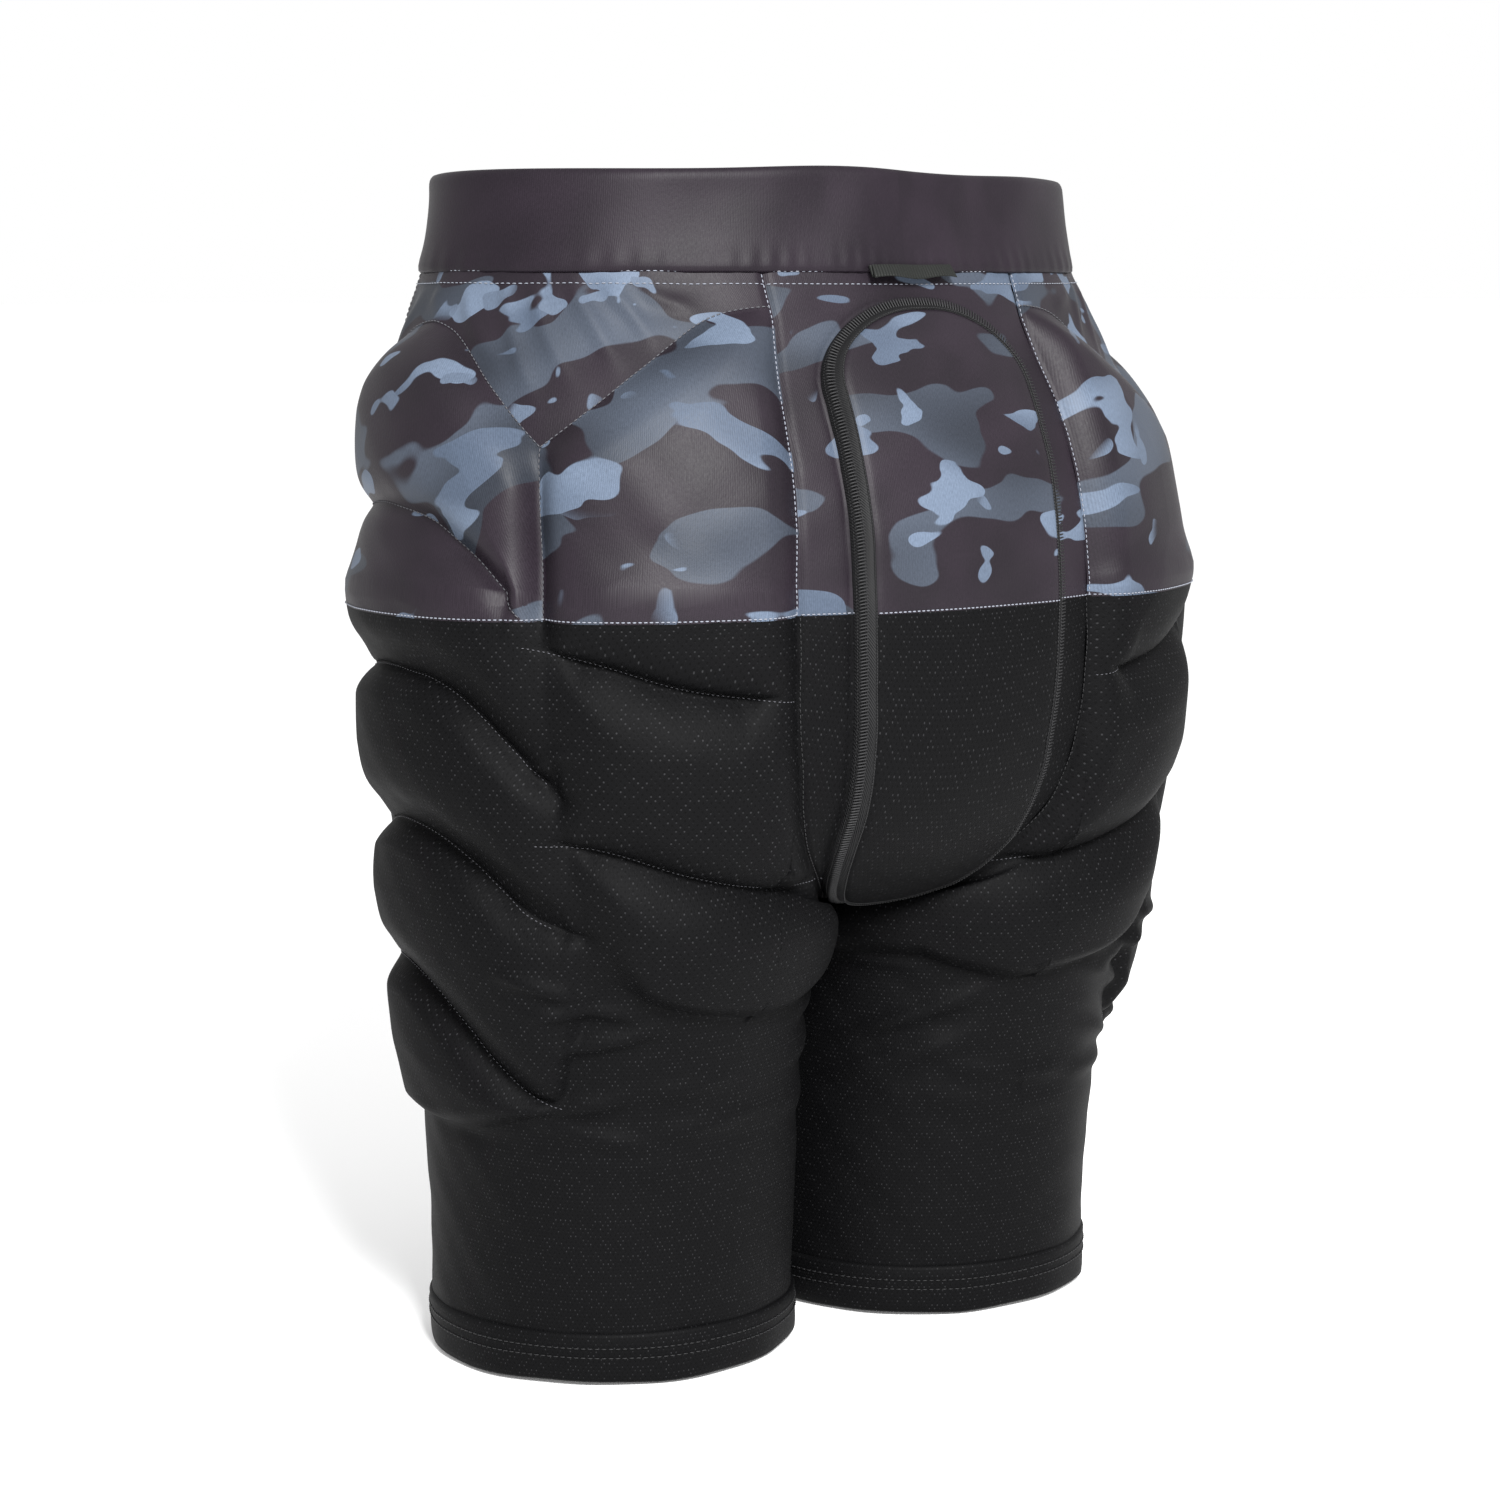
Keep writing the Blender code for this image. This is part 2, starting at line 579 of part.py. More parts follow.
def seam_line(front):
    """The middle panel's seam as rows of (angle round the thigh, z), from the crotch upwards."""
    angles = np.linspace(94, 240, 300) if front else np.linspace(94, -60, 300)
    points = middle_point(curve(MIDDLE_HALF, angles) + SEAM_GAP, angles)
    round_thigh = np.degrees(np.arctan2(points[:, 0] - THIGH_X, points[:, 1] - THIGH_Y))
    if front:
        round_thigh = round_thigh % 360
    return np.stack([round_thigh, points[:, 2]], -1)


def rising(line):
    """Only the rows whose height is above all earlier ones, so that a height names one angle."""
    top = np.maximum.accumulate(line[:, 1])
    keep = np.concatenate([[True], top[1:] > top[:-1] + 1e-7])
    return line[keep]


def rim_of_leg():
    """The leg panel's top edge as (angle, z), once round, with a point beside each gusset row."""
    start, end = level_angle(1.0, PRINT_EDGE)[0], level_angle(1.0, PRINT_EDGE, True)[0]
    angles = np.linspace(start, end, GUSSET_ROWS + 1)
    points = middle_point(curve(MIDDLE_HALF, angles) + SEAM_GAP, angles)
    round_thigh = np.degrees(np.arctan2(points[:, 0] - THIGH_X, points[:, 1] - THIGH_Y)) % 360
    round_thigh = np.minimum.accumulate(round_thigh) - 0.05 * np.arange(len(angles))
    heights = lifted(points, np.full(len(angles), FABRIC_LOW + FABRIC))[:, 2]
    seam = np.stack([round_thigh, np.minimum(heights, PRINT_EDGE)], -1)[::-1]
    outer = np.linspace(seam[-1, 0] - 360, seam[0, 0], 19)[:-1]
    return np.concatenate([np.stack([outer, 0 * outer + PRINT_EDGE], -1), seam])


clear_scene()
SHORTS = bpy.data.collections.new("padded_impact_shorts")
bpy.context.scene.collection.children.link(SHORTS)
PRINT = material("printed_fabric", (0.075, 0.068, 0.082), 0.75)
BLACK = material("black_fabric", (0.012, 0.012, 0.013), 0.8)
MESH = material("lining_mesh", (0.02, 0.02, 0.022), 0.9)
FOAM = material("foam", (0.16, 0.16, 0.17), 0.9)
ELASTIC = material("elastic", (0.03, 0.03, 0.033), 0.8)
TAPE = material("seam_tape", (0.01, 0.01, 0.012), 0.7)
LABEL_STAND = 0.0102
LABEL_TILT = 60.0

BACK_SEAM = rising(seam_line(front=False))
FRONT_SEAM_LINE = rising(seam_line(front=True))
RIM = rim_of_leg()

make_waistband()
make_printed_panels()
make_middle_panels()
make_tailbone_pad()
make_label()
make_pads()
make_legs()
make_pocket_lining()
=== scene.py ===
"""Looks for the padded impact shorts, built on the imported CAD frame.

Every layer lies at a height above one smooth body surface, the same one as in the CAD. A point on
the left half is named by its angle round the left thigh (0 at the back, 90 at the outer side) and
its height. The right half is a mirror copy with its own creases. Metres, +Z up, the wearer faces -Y.
"""

import math

import bpy
import numpy as np
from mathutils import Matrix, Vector


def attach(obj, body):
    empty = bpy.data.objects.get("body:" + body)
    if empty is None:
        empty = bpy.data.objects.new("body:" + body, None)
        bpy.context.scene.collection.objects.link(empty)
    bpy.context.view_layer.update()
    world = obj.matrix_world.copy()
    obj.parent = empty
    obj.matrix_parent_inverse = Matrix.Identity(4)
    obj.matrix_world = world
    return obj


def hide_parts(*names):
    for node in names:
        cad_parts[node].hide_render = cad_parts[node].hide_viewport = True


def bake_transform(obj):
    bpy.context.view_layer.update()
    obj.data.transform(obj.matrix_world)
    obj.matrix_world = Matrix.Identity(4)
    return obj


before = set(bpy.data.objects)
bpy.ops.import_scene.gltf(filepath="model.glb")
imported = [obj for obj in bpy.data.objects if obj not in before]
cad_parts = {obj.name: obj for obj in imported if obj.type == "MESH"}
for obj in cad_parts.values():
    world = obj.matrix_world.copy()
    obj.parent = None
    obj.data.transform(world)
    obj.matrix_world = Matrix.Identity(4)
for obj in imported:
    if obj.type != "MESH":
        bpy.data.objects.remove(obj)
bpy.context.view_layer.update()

# ---- The body's surface, as in the CAD ----
BAND_SEAM = -0.041
PRINT_EDGE = -0.177
HEM_TOP = -0.478
HEM_LOW = -0.4995
THIGH_X = 0.088
THIGH_Y = 0.014
SIDE_TOP = 49             # angle at which the side seam meets the yoke's lower edge
FRONT_SEAM = 126.0
PAD_FRONT = 128.0
ROUND = 0.095             # metres of cloth for each radian round the hip
JOIN = 0.0002             # how far a panel's cloth passes its seam
SEAM_DIP = 0.0012         # depth and width of the dip along the middle strip's seams
SEAM_WIDE = 0.0016

TRUNK = (
    (0.02, 0.1465, 0.095, 0.000), (0.00, 0.1465, 0.095, 0.000), (-0.04, 0.152, 0.100, 0.001),
    (-0.07, 0.165, 0.107, 0.005), (-0.10, 0.177, 0.114, 0.013), (-0.14, 0.182, 0.119, 0.021),
    (-0.18, 0.180, 0.121, 0.022), (-0.22, 0.177, 0.120, 0.022), (-0.26, 0.176, 0.117, 0.021),
    (-0.30, 0.173, 0.111, 0.019), (-0.34, 0.168, 0.104, 0.017),
)
THIGH = (
    (-0.52, 0.158, 0.0735, 0.009), (-0.50, 0.158, 0.0735, 0.009), (-0.46, 0.158, 0.0745, 0.010),
    (-0.42, 0.1595, 0.0765, 0.011), (-0.38, 0.1625, 0.080, 0.012), (-0.34, 0.1685, 0.086, 0.014),
    (-0.30, 0.173, 0.093, 0.017), (-0.26, 0.175, 0.096, 0.020), (-0.22, 0.1755, 0.095, 0.022),
    (-0.18, 0.178, 0.092, 0.022),
)
THIGH_INNER = 0.009
TRUNK_FLOOR_START = -0.18
TRUNK_FLOOR_DEPTH = 0.128
THIGH_TOP = -0.17
MERGE = 0.022

SEAT_TOP = ((-20, -0.056), (0, -0.061), (21, -0.080), (36, -0.096), (SIDE_TOP, -0.111))
SEAT_GROOVE_1 = ((-20, -0.212), (0, -0.208), (17, -0.203), (34, -0.193), (49, -0.186))
SEAT_GROOVE_2 = ((-30, -0.287), (-4, -0.286), (16, -0.278), (32, -0.268), (49, -0.263))
HIP_TOP = ((SIDE_TOP, -0.111), (64, -0.090), (86, -0.066), (106, -0.066), (130, -0.100))
HIP_GROOVE_1 = ((46, -0.182), (52.6, -0.171), (61.5, -0.155), (72, -0.142), (88, -0.135),
                (130, -0.142))
HIP_GROOVE_2 = ((42, -0.248), (56, -0.224), (63, -0.213), (73, -0.203), (86, -0.199),
                (130, -0.206))
HIP_GROOVE_3 = ((34, -0.306), (51, -0.296), (67, -0.277), (77, -0.268), (88, -0.263),
                (130, -0.275))
HIP_GROOVE_4 = ((40, -0.380), (56, -0.372), (67, -0.359), (76, -0.346), (88, -0.332),
                (130, -0.326))
SIDE_SEAM = ((-0.111, 49.0), (-0.135, 48.0), (-0.177, 46.0), (-0.265, 42.0), (-0.300, 38.0),
             (-0.378, 44.0))
MIDDLE_HALF = (
    (-40, 0.064), (-20, 0.070), (0, 0.073), (25, 0.075), (42, 0.073), (54, 0.063), (63, 0.042),
    (70, 0.025), (77, 0.011), (84, 0.006), (102, 0.006), (112, 0.011), (124, 0.022), (140, 0.033),
    (160, 0.040), (190, 0.045), (230, 0.047),
)
MIDDLE_CENTRE = (0.019, -0.130)
TAIL_TOP = -0.058
TAIL_END = 70.0
TAIL_HALF = 0.049
TAIL_RADIUS = 0.135


def smooth_table(at, table, column):
    """A smooth curve through one column of a table, against its first column."""
    rows = sorted(table)
    x = np.array([row[0] for row in rows], float)
    y = np.array([row[column] for row in rows], float)
    slope = np.gradient(y, x)
    at = np.asarray(at, float)
    i = np.clip(np.searchsorted(x, at) - 1, 0, len(x) - 2)
    step = x[i + 1] - x[i]
    t = np.clip((at - x[i]) / step, 0, 1)
    return (
        (2 * t**3 - 3 * t**2 + 1) * y[i]
        + (t**3 - 2 * t**2 + t) * step * slope[i]
        + (-2 * t**3 + 3 * t**2) * y[i + 1]
        + (t**3 - t**2) * step * slope[i + 1]
    )


def body(points):
    """Roughly the signed distance from the body's surface, negative inside."""
    x, y, z = np.abs(points[..., 0]), points[..., 1], points[..., 2]
    closing = np.clip((TRUNK_FLOOR_START - z) / TRUNK_FLOOR_DEPTH, 0, 0.999)
    shrink = (1 - closing**4) ** 0.45
    half_width = smooth_table(z, TRUNK, 1) * shrink
    half_depth = smooth_table(z, TRUNK, 2) * shrink
    trunk = np.hypot(x / half_width, (y - smooth_table(z, TRUNK, 3)) / half_depth) - 1
    trunk = trunk * np.minimum(half_width, half_depth)
    floor = TRUNK_FLOOR_START - TRUNK_FLOOR_DEPTH
    trunk = np.where(z < floor, 0.05 + floor - z, trunk)
    outer = smooth_table(z, THIGH, 1)
    depth = smooth_table(z, THIGH, 2)
    middle = (outer + THIGH_INNER) / 2
    half = (outer - THIGH_INNER) / 2
    thigh = np.hypot((x - middle) / half, (y - smooth_table(z, THIGH, 3)) / depth) - 1
    thigh = thigh * np.minimum(half, depth) + np.clip(z - THIGH_TOP, 0, None) * 0.8
    mix = np.clip(0.5 + 0.5 * (thigh - trunk) / MERGE, 0, 1)
    return thigh + (trunk - thigh) * mix - MERGE * mix * (1 - mix)


def outward(points):
    e = 4e-4
    slopes = [body(points + e * axis) - body(points - e * axis) for axis in np.eye(3)]
    normals = np.stack(slopes, -1)
    return normals / np.linalg.norm(normals, axis=-1, keepdims=True)


def cast(starts, directions, reach=0.24, steps=25):
    """Where rays from inside the body first leave it."""
    lengths = np.linspace(0, reach, steps)
    outside = np.stack([body(starts + directions * s) > 0 for s in lengths], -1)
    first = np.where(outside.any(-1), np.argmax(outside, -1), steps - 1)
    low, high = lengths[np.maximum(first - 1, 0)], lengths[first]
    for _ in range(15):
        middle = (low + high) / 2
        out = body(starts + directions * middle[..., None]) > 0
        high = np.where(out, middle, high)
        low = np.where(out, low, middle)
    return starts + directions * ((low + high) / 2)[..., None]


def side_point(angle, z, centre=THIGH_X):
    """The body's point at an angle round a thigh, or round another upright line at x = centre."""
    angle = np.radians(angle)
    z = np.asarray(z, float) + 0 * angle
    starts = np.stack([np.full_like(z, centre), np.full_like(z, THIGH_Y), z], -1)
    return cast(starts, np.stack([np.sin(angle) + 0 * z, np.cos(angle) + 0 * z, 0 * z], -1))


def ring_point(angle, z):
    """The body's point at an angle round the waist, 0 at the back."""
    return side_point(angle, z, 0.0)


def middle_point(across, angle):
    """The body's point on the middle strip: metres from the centre line, angle down the back."""
    angle = np.radians(angle)
    y, z = MIDDLE_CENTRE
    starts = np.stack([across, np.full_like(across, y), np.full_like(across, z)], -1)
    return cast(starts, np.stack([0 * across, np.cos(angle), -np.sin(angle)], -1))


def soft_curve(points, at):
    """A smooth curve through (place, value) points, level beyond its ends."""
    rows = sorted(points)
    at = np.clip(at, rows[0][0], rows[-1][0])
    return smooth_table(at, rows, 1)


def level_angle(u, z, front=False):
    """For places u across the middle strip, 0 to 1, the angle at which it has this height."""
    angles = np.linspace(90, 240, 120) if front else np.linspace(90, -60, 120)
    across = np.outer(2 * np.atleast_1d(u) - 1, soft_curve(MIDDLE_HALF, angles))
    heights = middle_point(across, angles + 0 * across)[..., 2]
    return np.array([np.interp(z, row, angles) for row in heights])


def seam_line(front):
    """The middle strip's seam as rows of (angle round the thigh, z), from the crotch upwards."""
    angles = np.linspace(94, 240, 300) if front else np.linspace(94, -60, 300)
    points = middle_point(soft_curve(MIDDLE_HALF, angles), angles)
    round_thigh = np.degrees(np.arctan2(points[:, 0] - THIGH_X, points[:, 1] - THIGH_Y))
    if front:
        round_thigh = round_thigh % 360
    line = np.stack([round_thigh, points[:, 2]], -1)
    top = np.maximum.accumulate(line[:, 1])
    return line[np.concatenate([[True], top[1:] > top[:-1] + 1e-7])]


BACK_SEAM = seam_line(False)
FRONT_SEAM_LINE = seam_line(True)
BACK_SEAM_MAP = BACK_SEAM[::6] * (math.radians(1) * ROUND, 1)


def back_edge(z):
    return np.interp(z, BACK_SEAM[:, 1], BACK_SEAM[:, 0])


def front_edge(z):
    return np.interp(z, FRONT_SEAM_LINE[:, 1], FRONT_SEAM_LINE[:, 0])


def step(low, high, x):
    """A smooth rise from 0 to 1 between two values."""
    t = np.clip((x - low) / (high - low), 0, 1)
    return t * t * (3 - 2 * t)


def yoke_line(angle):
    """The height of the yoke's lower edge."""
    return np.where(angle < SIDE_TOP, soft_curve(SEAT_TOP, angle), soft_curve(HIP_TOP, angle))


def line_distance(u, z, line):
    """The distance in the cloth's own plane to a line of (u, z) points."""
    best = np.full(np.shape(u), 1.0)
    for a, b in zip(line[:-1], line[1:]):
        along = b - a
        t = np.clip(((u - a[0]) * along[0] + (z - a[1]) * along[1]) / (along @ along), 0, 1)
        best = np.minimum(best, np.hypot(u - a[0] - t * along[0], z - a[1] - t * along[1]))
    return best


# ---- The padded relief ----
LOW = 0.0040              # height of unpadded fabric above the body
HIGH = 0.0126             # height of fabric over a pad's flat
CROWN = 0.0052            # how far a pad's middle swells above its shoulders
OUTLINE = (               # the padded area's lower edge as (angle, z)
    (-40, -0.335), (-30, -0.340), (-16, -0.345), (2, -0.342), (16, -0.337), (24, -0.330),
    (29, -0.320), (33, -0.314), (37, -0.318), (42, -0.342), (46, -0.370), (50, -0.380),
    (57, -0.385), (70, -0.391), (88, -0.393), (104, -0.393), (130, -0.392),
)


def groove(angle, z, points, depth, first, last, above, below):
    """The height lost beside a groove: the fall from the pad above it and the rise below it."""
    mid = soft_curve(points, angle)
    slope = (soft_curve(points, angle + 1) - soft_curve(points, angle - 1))
    slope = slope / (math.radians(2) * ROUND)
    s = (z - mid) / np.sqrt(1 + slope**2)
    fall = np.exp(-((np.clip(s, 0, None) / above) ** 1.7))
    rise = (1 - np.clip(-s / below, 0, 1)) ** 1.8
    fade = step(first[0], first[1], angle) * step(-last[1], -last[0], -angle)
    lost = np.where(s > 0, fall, rise) * depth * fade
    lip = np.exp(-(((s - 0.0042) / 0.0034) ** 2)) * fade * depth
    return lost, lip, np.abs(s) + (1 - fade) * 0.05


GROOVES = (
    (SEAT_GROOVE_1, 0.0102, (-7, 6), (38, 52), 0.0050, 0.028),
    (SEAT_GROOVE_2, 0.0102, (-40, -24), (36, 50), 0.0058, 0.024),
    (HIP_GROOVE_2, 0.0100, (36, 46), (150, 160), 0.0095, 0.013),
    (HIP_GROOVE_3, 0.0105, (31, 44), (150, 160), 0.0105, 0.012),
    (HIP_GROOVE_4, 0.0085, (40, 50), (150, 160), 0.0085, 0.012),
)


def relief(angle, z):
    """The outer fabric's height over the left half, and how far its shoulders sag over grooves."""
    u = np.radians(angle) * ROUND
    seam = soft_curve(SIDE_SEAM, z)
    from_seam = line_distance(u, z, BACK_SEAM_MAP)
    inside_seam = np.where(angle > back_edge(z), from_seam, -from_seam)
    yoke = yoke_line(angle) - z
    low_edge = z - soft_curve(OUTLINE, angle)
    front = np.radians(PAD_FRONT - angle) * ROUND
    printed = step(PRINT_EDGE - 0.015, PRINT_EDGE + 0.01, z)

    edge_seam = 1 - (1 - np.clip((inside_seam - 0.001) / 0.012, 0, 1)) ** 2.2
    edge_yoke = 1 - (1 - np.clip((yoke - 0.0005) / 0.024, 0, 1)) ** 2.0
    bridge = np.exp(-(((angle - 37) / 9.0) ** 2))
    low_edge = low_edge + 0.016 * bridge
    edge_low = 1 - (1 - np.clip(low_edge / (0.010 + 0.036 * bridge), 0, 1)) ** 2.0
    edge_front = step(0, 0.035, front)
    share = edge_seam * edge_yoke * edge_low * edge_front

    valley = np.abs(angle - seam) * math.radians(1) * ROUND
    crisp = np.exp(-((valley / 0.0056) ** 1.6)) * 0.0088
    soft = np.exp(-((valley / 0.013) ** 2.0)) * 0.0036 * step(-0.385, -0.36, z)
    lost = (crisp * printed + soft * (1 - printed)) * step(0.000, 0.03, yoke + 0.012)
    hip_seam = np.abs(z - soft_curve(HIP_GROOVE_1, angle)) * 0.9
    on_hip = step(47, 54, angle)
    lost = np.maximum(lost, np.exp(-((hip_seam / 0.0060) ** 1.6)) * 0.0046 * on_hip)

    nearest = np.minimum(np.minimum(inside_seam, yoke), np.minimum(low_edge, front))
    nearest = np.minimum(nearest, valley + 0.004 * (1 - printed))
    nearest = np.minimum(nearest, hip_seam + (1 - on_hip) * 0.05)
    sag = 0 * lost
    for points, depth, first, last, above, below in GROOVES:
        one, lip, away = groove(angle, z, points, depth, first, last, above, below)
        lost = np.sqrt(lost**2 + one**2)
        sag = np.maximum(sag, lip)
        nearest = np.minimum(nearest, away)
    crown = CROWN * (1 - np.exp(-np.clip(nearest, 0, None) / 0.017)) - 0.0004
    height = LOW + share * (HIGH - LOW + crown) - share * np.minimum(lost, HIGH - LOW)
    return height, sag * 0.42 * share


# Creases as (angle, z) to (angle, z), height and half width in millimetres. A crease stands
# CREASE_RISE times its listed height, with a hollow CREASE_HOLLOW times that height below it.
CREASE_RISE = 1.4
CREASE_HOLLOW = 0.45
CREASES_LEFT = (
    (61, -0.320, 33, -0.329, 2.0, 3.4), (53, -0.334, 24, -0.341, 2.1, 3.4),
    (50, -0.354, 15, -0.341, 2.3, 3.8), (62, -0.384, 24, -0.371, 2.2, 4.4),
    (26, -0.370, -8, -0.371, 1.3, 4.6), (106, -0.3895, 58, -0.388, 1.2, 3.8),
    (62, -0.387, 17, -0.394, 1.7, 4.2), (22, -0.393, -30, -0.388, 1.4, 4.6),
    (57, -0.290, 40, -0.306, 1.4, 3.6), (52, -0.232, 38, -0.231, 1.5, 3.4),
    (-30, -0.350, -80, -0.336, 1.6, 4.0), (-25, -0.372, -88, -0.352, 1.3, 5.0),
    (-20, -0.395, -85, -0.385, 1.0, 6.0), (60, -0.402, 0, -0.409, 0.8, 6.0),
)
CREASES_RIGHT = (
    (58, -0.322, 28, -0.330, 1.9, 3.6), (50, -0.338, 20, -0.343, 2.1, 3.6),
    (52, -0.360, 8, -0.345, 2.2, 4.2), (64, -0.386, 14, -0.374, 2.0, 4.6),
    (70, -0.391, 10, -0.396, 1.5, 4.2), (12, -0.394, -34, -0.382, 1.5, 4.6),
    (-14, -0.350, -70, -0.372, 2.2, 4.4), (-20, -0.372, -80, -0.392, 1.8, 5.0),
    (-38, -0.340, -85, -0.328, 1.7, 4.2), (20, -0.405, -50, -0.400, 0.9, 6.0),
    (56, -0.288, 42, -0.304, 1.5, 3.6),
)
YOKE_CREASES = (
    (62, -0.047, 40, -0.086, 1.0, 4.0), (74, -0.047, 50, -0.092, 0.9, 3.6),
    (48, -0.047, 27, -0.080, 1.0, 4.5), (88, -0.048, 64, -0.080, 0.9, 4.0),
    (35, -0.047, 16, -0.072, 0.8, 4.0), (102, -0.048, 92, -0.066, 0.8, 5.0),
    (112, -0.050, 124, -0.095, 1.0, 6.0), (118, -0.070, 135, -0.130, 0.9, 7.0),
    (20, -0.047, 4, -0.060, 0.6, 3.5),
)


def creases(angle, z, side):
    rows = (CREASES_LEFT if side > 0 else CREASES_RIGHT) + YOKE_CREASES
    u = np.radians(angle) * ROUND
    height = 0 * u
    for a0, z0, a1, z1, tall, wide in rows:
        tall, wide = tall * 1e-3, wide * 1e-3
        a = np.array([math.radians(a0) * ROUND, z0])
        b = np.array([math.radians(a1) * ROUND, z1])
        along = b - a
        length = math.hypot(*along)
        raw = ((u - a[0]) * along[0] + (z - a[1]) * along[1]) / length**2
        beside = ((u - a[0]) * along[1] - (z - a[1]) * along[0]) / length
        bend = 0.0022 * np.sin(raw * 3.1 + a0)
        ends = step(-0.06, 0.3, raw) * step(-1.1, -0.6, -raw)
        ridge = np.exp(-(((beside + bend) / wide) ** 2))
        under = np.exp(-(((beside + bend + wide * 1.7) / (wide * 1.3)) ** 2))
        height = height + tall * ends * (CREASE_RISE * ridge - CREASE_HOLLOW * under)
    return height


def unevenness(points, side):
    """Slow, shallow variation that all stretched fabric has."""
    x, y, z = points[..., 0] * side * 0.9 + 0.3 * side, points[..., 1], points[..., 2]
    return (
        0.00045 * np.sin(61 * x + 47 * z + 1.3) * np.sin(53 * y - 39 * z)
        + 0.00028 * np.sin(131 * x - 88 * z) * np.sin(117 * y + 71 * z + 0.7)
        + 0.00016 * np.sin(263 * z + 90 * y) * np.sin(211 * y - 170 * x + 2.0)
    )


class Half:
    """A set of points on the left half, ready to be lifted to the fabric of either half."""

    def __init__(self, angle, z):
        angle, z = np.asarray(angle, float), np.asarray(z, float)
        self.angle, self.z = np.where(angle > 215, angle - 360, angle), z
        self.flat = side_point(angle, z)
        self.normal = outward(self.flat)
        self.height, self.sag = relief(self.angle, z)
        seam = line_distance(np.radians(self.angle) * ROUND, z, BACK_SEAM_MAP)
        self.height = self.height - SEAM_DIP * np.exp(-((seam / SEAM_WIDE) ** 2))


def side_fabric(half, side, lift=0.0):
    """Points on the outer fabric of one half, side 1 for the left, and their normals."""
    flat, normal, sag = half.flat, half.normal, half.sag
    height = half.height + creases(half.angle, half.z, side) + unevenness(flat, side)
    points = flat + normal * (height + lift)[..., None]
    down = np.array([0, 0, -1.0]) + normal * normal[..., 2:3]
    points = points + down * sag[..., None]
    return points * (side, 1, 1), normal * (side, 1, 1)


TAIL_START = float(level_angle(0.5, TAIL_TOP)[0])


def tail_outside(across, angle):
    """How far a point of the middle strip lies outside the tailbone pad's outline."""
    half = (TAIL_END - TAIL_START) / 2
    length = math.radians(half) * TAIL_RADIUS
    along = (angle - TAIL_START - half) / half * length
    narrow = 1 - 0.22 * np.clip(along / length, 0, 1) ** 2
    corner = TAIL_HALF * narrow * 0.92
    beside = np.abs(across) - (TAIL_HALF * narrow - corner)
    beyond = np.abs(along) - (length - corner)
    away = np.hypot(np.clip(beside, 0, None), np.clip(beyond, 0, None))
    return away + np.minimum(np.maximum(beside, beyond), 0) - corner


def middle_fabric(across, angle, lift=0.0):
    """Points on the middle strip's fabric, raised over the tailbone pad, and their normals."""
    flat = middle_point(across, angle)
    normal = outward(flat)
    outside = tail_outside(across, angle)
    share = 1 - (1 - np.clip((0.0045 - outside) / 0.010, 0, 1)) ** 2.2
    height = LOW + 0.0072 * share + 0.0012 * (1 - np.exp(-np.clip(-outside, 0, None) / 0.015))
    height = height - 0.0016 * np.exp(-(((outside - 0.001) / 0.0035) ** 2))
    seam = soft_curve(MIDDLE_HALF, angle) - np.abs(across)
    height = height - SEAM_DIP * np.exp(-((seam / SEAM_WIDE) ** 2)) + unevenness(flat, 1)
    return flat + normal * (height + lift)[..., None], normal


COARSE = 1


# ---- Meshes ----
def link_mesh(name, mesh, material):
    mesh.shade_smooth()
    made = bpy.data.objects.new(name, mesh)
    bpy.context.scene.collection.objects.link(made)
    mesh.materials.append(material)
    return made


def grid_object(name, points, uv, material, wrap=False, wrap_rows=False):
    """A smooth mesh from a grid of points, rows by columns, facing away from the body."""
    rows, columns = points.shape[:2]
    used_rows = rows - 1 if wrap_rows else rows
    used = columns - 1 if wrap else columns
    i, j = np.meshgrid(np.arange(rows - 1), np.arange(columns - 1), indexing="ij")
    corners = [(i, j), (i, j + 1), (i + 1, j + 1), (i + 1, j)]
    index = [(a % used_rows) * used + b % used for a, b in corners]
    faces = np.stack(index, -1).reshape(-1, 4)
    loops = [uv[a, b] for a, b in corners]
    loops = np.stack(loops, -2).reshape(-1, 4, 2)
    vertices = points[:used_rows, :used].reshape(-1, 3)
    middle = vertices[faces].mean(1)
    facing = np.cross(vertices[faces[:, 1]] - vertices[faces[:, 0]],
                      vertices[faces[:, 3]] - vertices[faces[:, 0]])
    if (facing * outward(middle)).sum() < 0:
        faces, loops = faces[:, ::-1], loops[:, ::-1]
    mesh = bpy.data.meshes.new(name)
    mesh.from_pydata(vertices.tolist(), [], faces.tolist())
    layer = mesh.uv_layers.new(name="cloth")
    layer.data.foreach_set("uv", loops.reshape(-1).astype(np.float32))
    return link_mesh(name, mesh, material)


def stands_for(piece, slot, *nodes):
    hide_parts(*nodes)


def unit_grid(columns, rows):
    columns, rows = max(columns // COARSE, 4), max(rows // COARSE, 4)
    v, u = np.meshgrid(np.linspace(0, 1, rows + 1), np.linspace(0, 1, columns + 1), indexing="ij")
    return u, v


def side_patch(name, left, right, top, bottom, columns, rows, shift, turn):
    """A printed panel on each side. Left and right give an angle for a height, the others the
    reverse. Shift and turn place the panel on the printed cloth that it is cut from."""
    u, v = unit_grid(columns, rows)
    z = 0 * u + (top(90) + bottom(90)) / 2
    for _ in range(12):
        angle = left(z) + (right(z) - left(z)) * u
        z = bottom(angle) + (top(angle) - bottom(angle)) * v
    made = []
    half = Half(angle, z)
    for side, word in ((1, "left"), (-1, "right")):
        points, _ = side_fabric(half, side)
        flat = np.stack([np.radians(angle) * ROUND * side, z], -1)
        c, s = math.cos(turn * side), math.sin(turn * side)
        flat = flat @ np.array([[c, s], [-s, c]]) + (shift[0] * (1.7 - side), shift[1] * (2 + side))
        piece = grid_object(f"{name}_{word}", points, flat, CAMO)
        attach(piece, "hips")
        made.append(piece)
    return made


